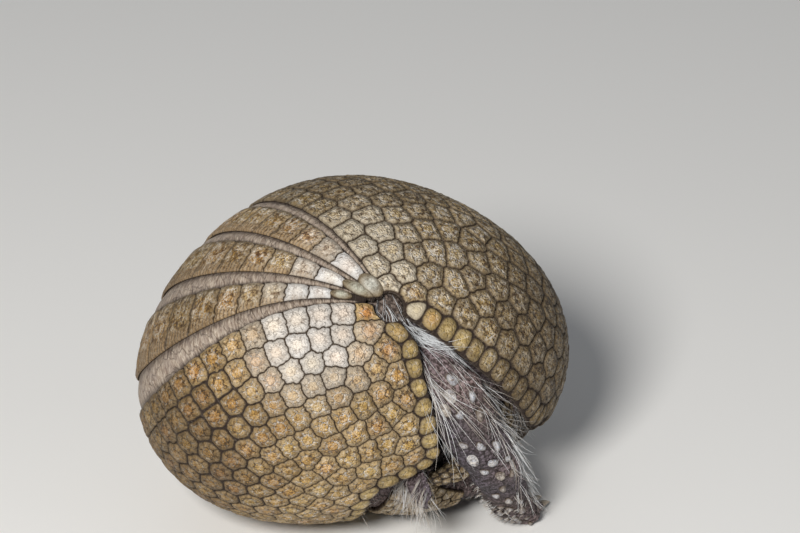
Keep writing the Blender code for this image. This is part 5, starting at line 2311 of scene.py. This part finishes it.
def head_shield(horn):
    start, end = (share * HEAD_LENGTH for share in HEAD_SHIELD_RANGE)
    along = np.linspace(start, end, 24)
    half = head_shield_half_angle(along) * head_shield_radius(along)
    left = np.stack([half, along], axis=1)
    right = np.stack([-half[::-1], along[::-1]], axis=1)
    outline = np.concatenate([left, right])
    seeds = []
    for row, v in enumerate(np.arange(start + 1.9, end, HEAD_SCUTE_STEP * 0.88)):
        reach = float(np.interp(v, along, half))
        count = max(1, int(round(2.0 * reach / HEAD_SCUTE_STEP)))
        if (count + row) % 2:
            count += 1
        for k in range(count):
            seeds.append((reach * (2.0 * (k + 0.5) / count - 1.0), v))
    builder = ScuteBuilder(onto_head_shield, HEAD_SHIELD_THICKNESS + 0.15)
    up = np.array([0.0, 0.0, 1.0])
    ahead = np.array([0.0, 1.0, 0.0])
    for number, corners in enumerate(flat_cells(np.array(seeds), outline)):
        loop = orient(round_off(resampled(corners, 0.5), 2))
        chance = np.random.default_rng((number, 11))
        rim = mixed(OLIVE, TAN, 0.3 + 0.3 * chance.uniform())
        middle = mixed(TAN, OCHRE, 0.4 * chance.uniform()) * (0.9 + 0.15 * chance.uniform())
        key = HEAD_NUMBERS + number
        builder.add(loop, np.zeros(len(loop)), up, ahead, (rim, middle), 0.15, key, 0.7, 0.6)
    piece = builder.finish("head_scutes", horn, np.asarray)
    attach(piece, "root")
    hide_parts("head_shield")


def orient(loop):
    """A flat outline, turned so that it runs ccw."""
    after = np.roll(loop, -1, axis=0)
    area = float(np.sum(loop[:, 0] * after[:, 1] - after[:, 0] * loop[:, 1]))
    return loop if area > 0.0 else loop[::-1]


def tail_rings():
    """Centre, half width and half height of the tail's rings in the ball's frame, and its length to each."""
    centres = []
    for flank, angle, distance, _, _ in TAIL_RINGS:
        turn = math.radians(angle)
        centres.append((flank, distance * math.cos(turn), distance * math.sin(turn)))
    centres = np.array(centres)
    run = np.concatenate([[0.0], np.cumsum(np.linalg.norm(np.diff(centres, axis=0), axis=1))])
    sizes = np.array([ring[3:] for ring in TAIL_RINGS])
    return centres, sizes, run


TAIL_CENTRES, TAIL_SIZES, TAIL_RUN = tail_rings()


def tail_size(along):
    return [np.interp(along, TAIL_RUN, TAIL_SIZES[:, k]) for k in (0, 1)]


def tail_surface(angle, along, depth):
    """World points of the tail; the angle, in radians, runs from its outer face round the left side."""
    centre = np.stack([np.interp(along, TAIL_RUN, TAIL_CENTRES[:, k]) for k in range(3)], axis=-1)
    wide, high = tail_size(along)
    outward = unit(centre * [0.0, 1.0, 1.0])
    sideways = np.array([1.0, 0.0, 0.0])
    across = (wide - depth) * np.sin(angle)
    rise = (high - depth) * np.cos(angle)
    return to_world(centre + across[..., None] * sideways + rise[..., None] * outward)


def tail_radius(along):
    wide, high = tail_size(along)
    return (wide + high) / 2.0


def onto_tail(points, depth):
    return tail_surface(points[:, 0] / tail_radius(points[:, 1]), points[:, 1], depth)


def tail_core(material):
    """The skin under the tail's scutes."""
    along = np.linspace(0.0, TAIL_RUN[-1] - 0.3, 40)
    turn = np.arange(TAIL_SIDES) * 2.0 * math.pi / TAIL_SIDES
    angle, run = np.meshgrid(turn, along)
    points = tail_surface(angle.ravel(), run.ravel(), TAIL_THICKNESS * 0.8)
    faces = tube_faces(len(along), TAIL_SIDES).tolist()
    faces.append(list(range(TAIL_SIDES))[::-1])
    faces.append(list(range(len(points) - TAIL_SIDES, len(points))))
    piece = new_piece("tail_core", points, faces, [material])
    add_vector(piece, "local", points)
    add_colour(piece, "tint", np.tile(SKIN_DARK, (len(points), 1)))
    return piece


def tail(horn, bare):
    builder = ScuteBuilder(onto_tail, TAIL_THICKNESS)
    up = np.array([0.0, 0.0, 1.0])
    ahead = np.array([0.0, -1.0, 0.0])
    v = 0.6
    row = 0
    number = TAIL_NUMBERS
    while v < TAIL_RUN[-1] - 1.2:
        radius = float(tail_radius(v + 1.0))
        height = 2.2 + 0.30 * radius
        count = max(5, int(round(2.0 * math.pi * radius / (2.4 + 0.28 * radius))))
        for k in range(count):
            first = 2.0 * math.pi * (k + 0.5 * (row % 2)) / count
            last = first + 2.0 * math.pi / count
            low, high = v, min(v + height * 1.12, TAIL_RUN[-1] - 0.3)
            third = (last - first) / 3.0
            shoulder = low + 0.62 * (high - low)
            corners = [(first, low), (last, low), (last, shoulder)]
            corners += [(last - third, high), (first + third, high), (first, shoulder)]
            flat = np.array([(angle * tail_radius(run), run) for angle, run in corners])
            loop = orient(round_off(resampled(flat, 0.5), 3))
            chance = np.random.default_rng((number, 13))
            rim = mixed(UMBER, OLIVE, chance.uniform())
            middle = mixed(TAN, OLIVE, 0.3 + 0.4 * chance.uniform())
            builder.add(loop, np.zeros(len(loop)), up, ahead, (rim, middle), 0.2, number, 0.6, 0.6)
            number += 1
        v += height
        row += 1
    scutes = builder.finish("tail_scutes", horn, np.asarray)
    piece = joined("tail_shell", [scutes, tail_core(bare)])
    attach(piece, "root")
    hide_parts("tail")


def limb_point(name, share, turn):
    """A place near a limb's surface, this far along it and turned round from its width axis."""
    stations = limb_stations(limb_rings(name), limb_width_axes(name))
    place = share * (len(stations) - 1)
    k = min(int(place), len(stations) - 2)
    start, end = stations[k], stations[k + 1]
    between = place - k
    centre = start[0] + (end[0] - start[0]) * between
    wide = unit(start[1] + (end[1] - start[1]) * between)
    thick = unit(np.cross(end[0] - start[0], wide))
    half_wide = start[2] + (end[2] - start[2]) * between
    half_thick = start[3] + (end[3] - start[3]) * between
    angle = math.radians(turn)
    point = centre + wide * half_wide * math.cos(angle) + thick * half_thick * math.sin(angle)
    return point, unit(end[0] - start[0])


def onto_skin(points, depth):
    placed, normal = onto_flesh(points, 0.0, 2)
    return placed + normal * (OVAL_PROUD - depth)[:, None]


def oval(builder, place, ahead, half_long, half_wide, colour, number):
    """One small scute on the skin near this place."""
    found, normal = onto_flesh(place[None], 0.0, 2)
    up = normal[0]
    ahead = unit(ahead - up * (ahead @ up))
    side = np.cross(ahead, up)
    turn = np.linspace(0.0, 2.0 * math.pi, 18, endpoint=False)
    chance = np.random.default_rng((number, 17))
    uneven = 1.0 + 0.14 * np.sin(2.0 * turn + chance.uniform(0.0, 6.28))
    uneven = uneven + 0.12 * np.sin(3.0 * turn + chance.uniform(0.0, 6.28))
    loop = found[0] + np.outer(np.cos(turn) * half_wide * uneven, side)
    loop = loop + np.outer(np.sin(turn) * half_long * uneven, ahead)
    if np.cross(loop[1] - loop[0], loop[2] - loop[1]) @ up < 0.0:
        loop = loop[::-1]
    builder.add(loop, np.zeros(len(loop)), up, ahead, (colour * 0.75, colour), 0.25, number, 0.6, 0.6)


def limb_scutes(horn):
    builder = ScuteBuilder(onto_skin, OVAL_THICKNESS)
    number = LIMB_NUMBERS
    for name in LIMBS:
        first, last, turns = OVAL_ROWS[name]
        pitch = OVAL_PITCH / limb_length(name)
        for row, share in enumerate(np.arange(first, last, pitch)):
            for column, turn in enumerate(turns):
                number += 1
                chance = np.random.default_rng((number, 19))
                sway = chance.uniform(-1.0, 1.0, 4)
                if sway[3] > 0.60:
                    continue
                along = share + 0.5 * pitch * (column % 2) + 0.006 * sway[0]
                place, ahead = limb_point(name, min(along, 0.93), turn - 2.5 * row + 5.0 * sway[1])
                ball = to_ball(place[None])
                directions = unit(ball)
                covered = np.linalg.norm(ball) < ball_radius(directions)[0] - 5.0
                if covered and not in_opening(directions, 0.0)[0]:
                    continue
                size = 1.04 - 0.46 * share + 0.12 * sway[2]
                white = smooth(1.05 - 0.9 * abs(sway[0])) * smooth(1.25 - 0.8 * share)
                colour = mixed(OVAL_BROWN, OVAL_WHITE, white)
                oval(builder, place, ahead, 2.45 * size, 1.85 * size, colour, number)
    for sign in (-1.0, 1.0):
        for row, share in enumerate(CHEEK_PLACES):
            for angle in CHEEK_ANGLES:
                number += 1
                if share < 0.33 and angle < 90.0:
                    continue
                place = head_point(share, sign * (angle + 6.0 * (row % 2)))
                oval(builder, place, HEAD_AXIS, 1.25, 1.0, OVAL_BROWN * 1.25, number)
    piece = builder.finish("limb_scutes", horn, np.asarray)
    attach(piece, "root")


# ---- hair: thin tapered bristles in tufts, each a closed body ----


def in_opening(directions, margin):
    """Whether these directions leave the ball between the two shields, or at its flank poles."""
    latitude = latitude_of(directions)
    angle = angle_of(directions, 316.0)
    front = rim_angle(FRONT_SHIELD_RIM, HEAD_NOTCH, latitude) - margin
    rear = 360.0 + rim_angle(REAR_SHIELD_RIM, TAIL_NOTCH, latitude) + margin
    return ((angle > front) & (angle < rear)) | (np.abs(latitude) > 85.5)


def clear_of_body(points):
    """Lifts points that would lie in the skin, in a plate or under the floor."""
    away = flesh_distance(points)
    low = away < 0.35
    if low.any():
        normal, gap = flesh_normal(points[low])
        points[low] = points[low] + normal * np.clip(0.35 - gap, 0.0, 2.0)[:, None]
    ball = to_ball(points)
    radius = np.linalg.norm(ball, axis=1)
    directions = ball / radius[:, None]
    shell = ball_radius(directions)
    caught = ~in_opening(directions, 0.3) & (radius < shell + 0.25) & (radius > shell - PLATE_DEPTH - 0.4)
    kept_to = np.where(radius > shell - 0.3, shell + 0.3, shell - PLATE_DEPTH - 0.5)
    ball[caught] *= (kept_to / radius)[caught][:, None]
    points = to_world(ball)
    points[:, 2] = np.maximum(points[:, 2], 0.35)
    return points


def along_limb(values, share):
    """What lies between a limb's values, one for each ring, at these shares of its length."""
    stations = np.linspace(0.0, 1.0, len(values))
    return np.stack([np.interp(share, stations, values[:, k]) for k in range(3)], axis=1)


def skin_unwrap(points):
    """Where each place of the skin lies on a flat unwrap of it, both ways from 0 to 1."""
    directions = unit(to_ball(points))
    u = 0.03 + 0.52 * ((angle_of(directions, 180.0)) / 360.0)
    v = 0.05 + 0.90 * (latitude_of(directions) + 90.0) / 180.0
    left, along, crown = head_local(points)
    on_head = (along > 0.1 * HEAD_LENGTH) & (np.hypot(left, crown) < 22.0)
    u = np.where(on_head, 0.60 + 0.14 * (np.degrees(np.arctan2(left, crown)) + 180.0) / 360.0, u)
    v = np.where(on_head, 0.05 + 0.85 * np.clip(along / HEAD_LENGTH, 0.0, 1.05), v)
    for k, name in enumerate(LIMBS):
        share, away = limb_share(points, name)
        centres = np.array([ring[0] for ring in limb_rings(name)])
        offset = points - along_limb(centres, share)
        turn = np.arctan2(offset[:, 2], offset @ limb_width_axes(name)[1])
        on_limb = (away < 11.5) & ~on_head
        u = np.where(on_limb, 0.765 + 0.058 * k + 0.045 * (turn + math.pi) / (2.0 * math.pi), u)
        v = np.where(on_limb, 0.05 + 0.9 * share, v)
    return np.stack([u, v], axis=1)


class Coat:
    """Collects tufts of hair into one mesh."""

    def __init__(self, seed):
        self.chance = np.random.default_rng(seed)
        self.paths = []
        self.width = []
        self.tint = []
        self.patch = []
        self.place = []

    def add(self, roots, normals, lie, length, lift, spread, per_tuft, width, colours, droop):
        """Tufts at these roots. lie is the way each one lies; lift is how steeply it leaves the skin."""
        chance = self.chance
        count = len(roots)
        inward = np.minimum(0.0, np.sum(lie * normals, axis=1))
        along = unit(lie - normals * inward[:, None])
        across = np.cross(normals, along)
        turn = chance.uniform(-math.pi, math.pi, (count, per_tuft))
        reach = spread * np.sqrt(chance.uniform(0.0, 1.0, (count, per_tuft)))
        start = roots[:, None] + along[:, None] * (reach * np.sin(turn))[..., None]
        start = start + across[:, None] * (reach * np.cos(turn))[..., None]
        sway = 0.16 * chance.normal(size=(count, 1, 1)) + 0.13 * chance.normal(size=(count, per_tuft, 1))
        rise = lift * (1.0 + 0.35 * chance.normal(size=(count, per_tuft, 1)))
        heading = unit(along[:, None] + across[:, None] * sway + normals[:, None] * np.maximum(0.05, rise))
        heading = heading.reshape(-1, 3)
        lengths = np.repeat(np.broadcast_to(length, (count,)), per_tuft)
        lengths = lengths * chance.uniform(0.62, 1.12, len(lengths))
        bend = 0.045 * chance.normal(size=(count, 1, 3)) + 0.035 * chance.normal(size=(count, per_tuft, 3))
        bend = bend.reshape(-1, 3) + np.array([0.0, 0.0, -droop])
        point = start.reshape(-1, 3)
        path = [point - heading * 0.5]
        for _ in range(HAIR_STEPS):
            heading = unit(heading + bend)
            point = clear_of_body(point + heading * (lengths / HAIR_STEPS)[:, None])
            path.append(point)
        self.paths.append(np.stack(path, axis=1))
        self.width.append(width * chance.uniform(0.7, 1.15, len(lengths)))
        shares = chance.uniform(0.0, 1.0, (count, per_tuft)) ** 1.6
        self.tint.append(mixed(*colours, shares[..., None]).reshape(-1, 3))
        self.patch.append(np.repeat(skin_unwrap(roots), per_tuft, axis=0))
        self.place.append(np.tile((np.arange(per_tuft) + 0.5) / per_tuft - 0.5, count))

    def finish(self, name, material):
        paths = np.concatenate(self.paths)
        width = np.concatenate(self.width)
        count, rings = paths.shape[:2]
        tangent = unit(np.gradient(paths, axis=1) + 1e-9)
        side = unit(np.cross(tangent, np.array([0.31, 0.74, 0.52])))
        over = np.cross(side, tangent)
        taper = np.linspace(1.0, 0.22, rings) ** 0.8
        points = []
        for turn in (0.0, 2.0 * math.pi / 3.0, 4.0 * math.pi / 3.0):
            offset = side * math.cos(turn) + over * math.sin(turn)
            points.append(paths + offset * (width[:, None] * taper)[..., None])
        points = np.stack(points, axis=2).reshape(count, rings * 3, 3)
        faces = []
        for ring in range(rings - 1):
            for k in range(3):
                after = (k + 1) % 3
                faces.append((3 * ring + k, 3 * ring + after, 3 * ring + 3 + after, 3 * ring + 3 + k))
        quads = np.array(faces)
        ends = np.array([(2, 1, 0), (3 * rings - 3, 3 * rings - 2, 3 * rings - 1)])
        base = np.arange(count)[:, None, None] * (rings * 3)
        every = (quads[None] + base).reshape(-1, 4).tolist() + (ends[None] + base).reshape(-1, 3).tolist()
        piece = new_piece(name, points.reshape(-1, 3), every, [material])
        add_colour(piece, "tint", np.repeat(np.concatenate(self.tint), rings * 3, axis=0))
        along = np.tile(np.repeat(np.linspace(0.0, 1.0, rings), 3), count)
        add_number(piece, "along", along)
        centre = np.repeat(np.concatenate(self.patch), rings * 3, axis=0)
        beside = np.repeat(np.concatenate(self.place), rings * 3)
        beside = beside + np.tile([-0.04, 0.0, 0.04], count * rings)
        layout = centre + PATCH * np.stack([beside, along - 0.5], axis=1)
        corners = np.empty(len(piece.data.loops), np.int32)
        piece.data.loops.foreach_get("vertex_index", corners)
        layer = piece.data.uv_layers.new(name="OFBake")
        layer.data.foreach_set("uv", layout[corners].astype(np.float32).ravel())
        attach(piece, "root")


def hair_material():
    material, tree, shader = start_material("bristle")
    # painted shade, darker towards the root of each hair
    root_shade = span(attribute(tree, "along"), 0.0, 0.14, 0.55, 0.0)
    finish_shader(shader, blend(root_shade, attribute(tree, "tint", "Color"), HAIR_ROOT_SHADE), 0.42, 0.45)
    return material


def picked(weights, count, seed):
    """Indexes drawn with these weights, each at most once."""
    chance = np.random.default_rng(seed)
    keys = chance.uniform(0.0, 1.0, len(weights)) ** (1.0 / np.maximum(weights, 1e-9))
    keys[weights <= 0.0] = -1.0
    order = np.argsort(-keys)[:count]
    return order[keys[order] > 0.0]


def lie_at(points):
    """Which way hair lies on the trunk and round the shields' rims: back and down, steeper lower down."""
    slope = np.radians(np.clip(35.0 + 0.75 * (82.0 - points[:, 2]), 33.0, 74.0))
    return np.stack([np.cos(slope), np.zeros(len(points)), -np.sin(slope)], axis=1)


def trunk_hair(points, normals, material):
    coat = Coat(101)
    ball = to_ball(points)
    directions = unit(ball)
    latitude = latitude_of(directions)
    angle = angle_of(directions, 316.0)
    off_limbs = np.ones(len(points), bool)
    for name in LIMBS:
        off_limbs &= limb_share(points, name)[1] > 11.0
    left, along, crown = head_local(points)
    off_head = (along < 0.05 * HEAD_LENGTH) | (np.hypot(left, crown) > 20.0)
    open_skin = in_opening(directions, 3.0) & (np.abs(latitude) < 85.0) & off_head
    front = rim_angle(FRONT_SHIELD_RIM, HEAD_NOTCH, latitude)

    tuft = np.exp(-(((latitude - 79.0) / 4.0) ** 2) - ((angle - 326.0) / 14.0) ** 2) * open_skin
    chosen = picked(tuft * (tuft > 0.15), 12, 1)
    roots = points[chosen]
    coat.add(roots, normals[chosen], lie_at(roots), FLANK_LENGTH, *FLANK_TUFTS)

    near_rim = np.exp(-((angle - front - 3.0) / 7.0) ** 2) * open_skin * (latitude > 38.0)
    chosen = picked(near_rim * smooth((latitude - 46.0) / 22.0), 20, 2)
    roots = points[chosen]
    coat.add(roots, normals[chosen], lie_at(roots), RIM_LENGTH, *RIM_TUFTS)

    belly = 1.0 * open_skin * off_limbs * (np.linalg.norm(ball, axis=1) > 22.0)
    chosen = picked(belly, 400, 3)
    roots = points[chosen]
    coat.add(roots, normals[chosen], lie_at(roots), BELLY_LENGTH, *BELLY_TUFTS)

    pole = (np.abs(latitude) > 84.3) & (np.linalg.norm(ball, axis=1) > 50.0)
    poles = to_world(on_ball(direction(0.0, np.array([-90.0, 90.0]))))
    pole &= points[:, 2] < np.where(latitude > 0.0, poles[1, 2], poles[0, 2]) + 0.5
    chosen = picked(1.0 * pole, 20, 4)
    roots = points[chosen]
    lie = np.tile([0.18, -0.1, -1.0], (len(chosen), 1))
    coat.add(roots, normals[chosen], lie, POLE_LENGTH, *POLE_TUFTS)
    coat.finish("coat_trunk", material)


def limb_hair(points, normals, material):
    coat = Coat(102)
    ball = to_ball(points)
    directions = unit(ball)
    inside = np.linalg.norm(ball, axis=1) < ball_radius(directions) - 3.0
    visible = in_opening(directions, 2.0) | ~inside
    for k, name in enumerate(LIMBS):
        share, away = limb_share(points, name)
        centres = np.array([ring[0] for ring in limb_rings(name)])
        lie = along_limb(np.gradient(centres, axis=0), share)
        on_limb = (away < 11.0) & visible & (share > 0.05) & (share < 0.93)
        backward = smooth(0.5 + 0.9 * normals @ np.array([0.62, 0.35, 0.70]))
        count = 165 if name == "foreleg_left" else 150
        chosen = picked(on_limb * (1.15 - share) * (0.04 + backward**2), count, 10 + k)
        roots = points[chosen]
        length = (7.0 + 15.0 * backward[chosen]) * (1.0 - 0.78 * share[chosen])
        lie = 0.5 * unit(lie[chosen]) + lie_at(roots)
        coat.add(roots, normals[chosen], lie, length, *LIMB_TUFTS)
    coat.finish("coat_limbs", material)


def head_hair(points, normals, material):
    coat = Coat(103)
    left, along, crown = head_local(points)
    share = along / HEAD_LENGTH
    around = np.abs(np.degrees(np.arctan2(left, crown)))
    on_head = (share > 0.10) & (share < 0.96) & (np.hypot(left, crown) < 24.0)
    for side in ("left", "right"):
        on_head &= np.linalg.norm(points - eye_centre(side), axis=1) > EYE_RADIUS + 2.0
    first, last = HEAD_SHIELD_RANGE
    shielded = (share > first) & (share < last + 0.02) & (around < HEAD_SHIELD_HALF_ANGLE)
    chosen = picked(1.0 * (on_head & ~shielded), 620, 21)
    roots = points[chosen]
    lie = np.tile(-HEAD_AXIS, (len(chosen), 1)) + 0.3 * lie_at(roots)
    long = 1.6 + 2.8 * smooth((0.8 - share[chosen]) / 0.5)
    coat.add(roots, normals[chosen], lie, long, *HEAD_TUFTS)
    coat.finish("coat_head", material)


# ---- stage ----


def add_camera():
    tilt = math.radians(CAMERA_ELEVATION)
    right = Vector((1.0, 0.0, 0.0))
    up = Vector((0.0, math.sin(tilt), math.cos(tilt)))
    forward = Vector((0.0, math.cos(tilt), -math.sin(tilt)))
    lens = bpy.data.cameras.new("camera")
    lens.sensor_width = SENSOR_WIDTH
    lens.lens = SENSOR_WIDTH * CAMERA_DISTANCE / VIEW_WIDTH
    camera = bpy.data.objects.new("camera", lens)
    bpy.context.scene.collection.objects.link(camera)
    aim = Vector(BALL_CENTRE * MM) + right * AIM_RIGHT + up * AIM_UP
    place = aim - forward * CAMERA_DISTANCE
    camera.matrix_world = Matrix(
        (
            (right.x, up.x, -forward.x, place.x),
            (right.y, up.y, -forward.y, place.y),
            (right.z, up.z, -forward.z, place.z),
            (0.0, 0.0, 0.0, 1.0),
        )
    )
    bpy.context.scene.camera = camera


def add_floor():
    mesh = bpy.data.meshes.new("floor")
    corners = [(x * FLOOR_SIDE, y * FLOOR_SIDE, 0.0) for x, y in ((-1, -1), (1, -1), (1, 1), (-1, 1))]
    mesh.from_pydata(corners, [], [(0, 1, 2, 3)])
    floor = bpy.data.objects.new("floor", mesh)
    floor.location.z = -FLOOR_DROP
    bpy.context.scene.collection.objects.link(floor)
    material, _, shader = start_material("floor_paper")
    feed(shader, "Base Color", (0.88, 0.87, 0.85, 1.0))
    feed(shader, "Roughness", 0.9)
    mesh.materials.append(material)


def add_light(name, place, size, power, colour):
    data = bpy.data.lights.new(name, "AREA")
    data.shape = "DISK"
    data.size = size
    data.energy = power
    data.color = colour
    light = bpy.data.objects.new(name, data)
    bpy.context.scene.collection.objects.link(light)
    light.location = place
    light.rotation_euler = (Vector(LIGHT_AIM) - Vector(place)).to_track_quat("-Z", "Y").to_euler()


def add_lights():
    for light in LIGHTS:
        add_light(*light)
    world = bpy.data.worlds.new("studio")
    bpy.context.scene.world = world
    bpy.context.scene.view_settings.view_transform = "Standard"
    world.use_nodes = True
    sky = world.node_tree.nodes["Background"]
    feed(sky, "Color", SKY_COLOUR)
    feed(sky, "Strength", SKY_STRENGTH)


def build():
    strip = strip_material()
    shield_horn = horn_material(*SHIELD_HORN)
    rump_horn = horn_material(*RUMP_HORN)
    band_horn = horn_material(*BAND_HORN)
    front_shield(shield_horn, strip)
    rear_shield(rump_horn, strip)
    for number in range(3):
        band(number, band_horn, strip)
    bare = skin_material()
    roots, normals = skin(bare)
    head_shield(shield_horn)
    tail(shield_horn, bare)
    claws(claw_material())
    eyes(eye_material())
    limb_scutes(band_horn)
    bristle = hair_material()
    trunk_hair(roots, normals, bristle)
    limb_hair(roots, normals, bristle)
    head_hair(roots, normals, bristle)
    add_floor()
    add_lights()
    add_camera()


build()
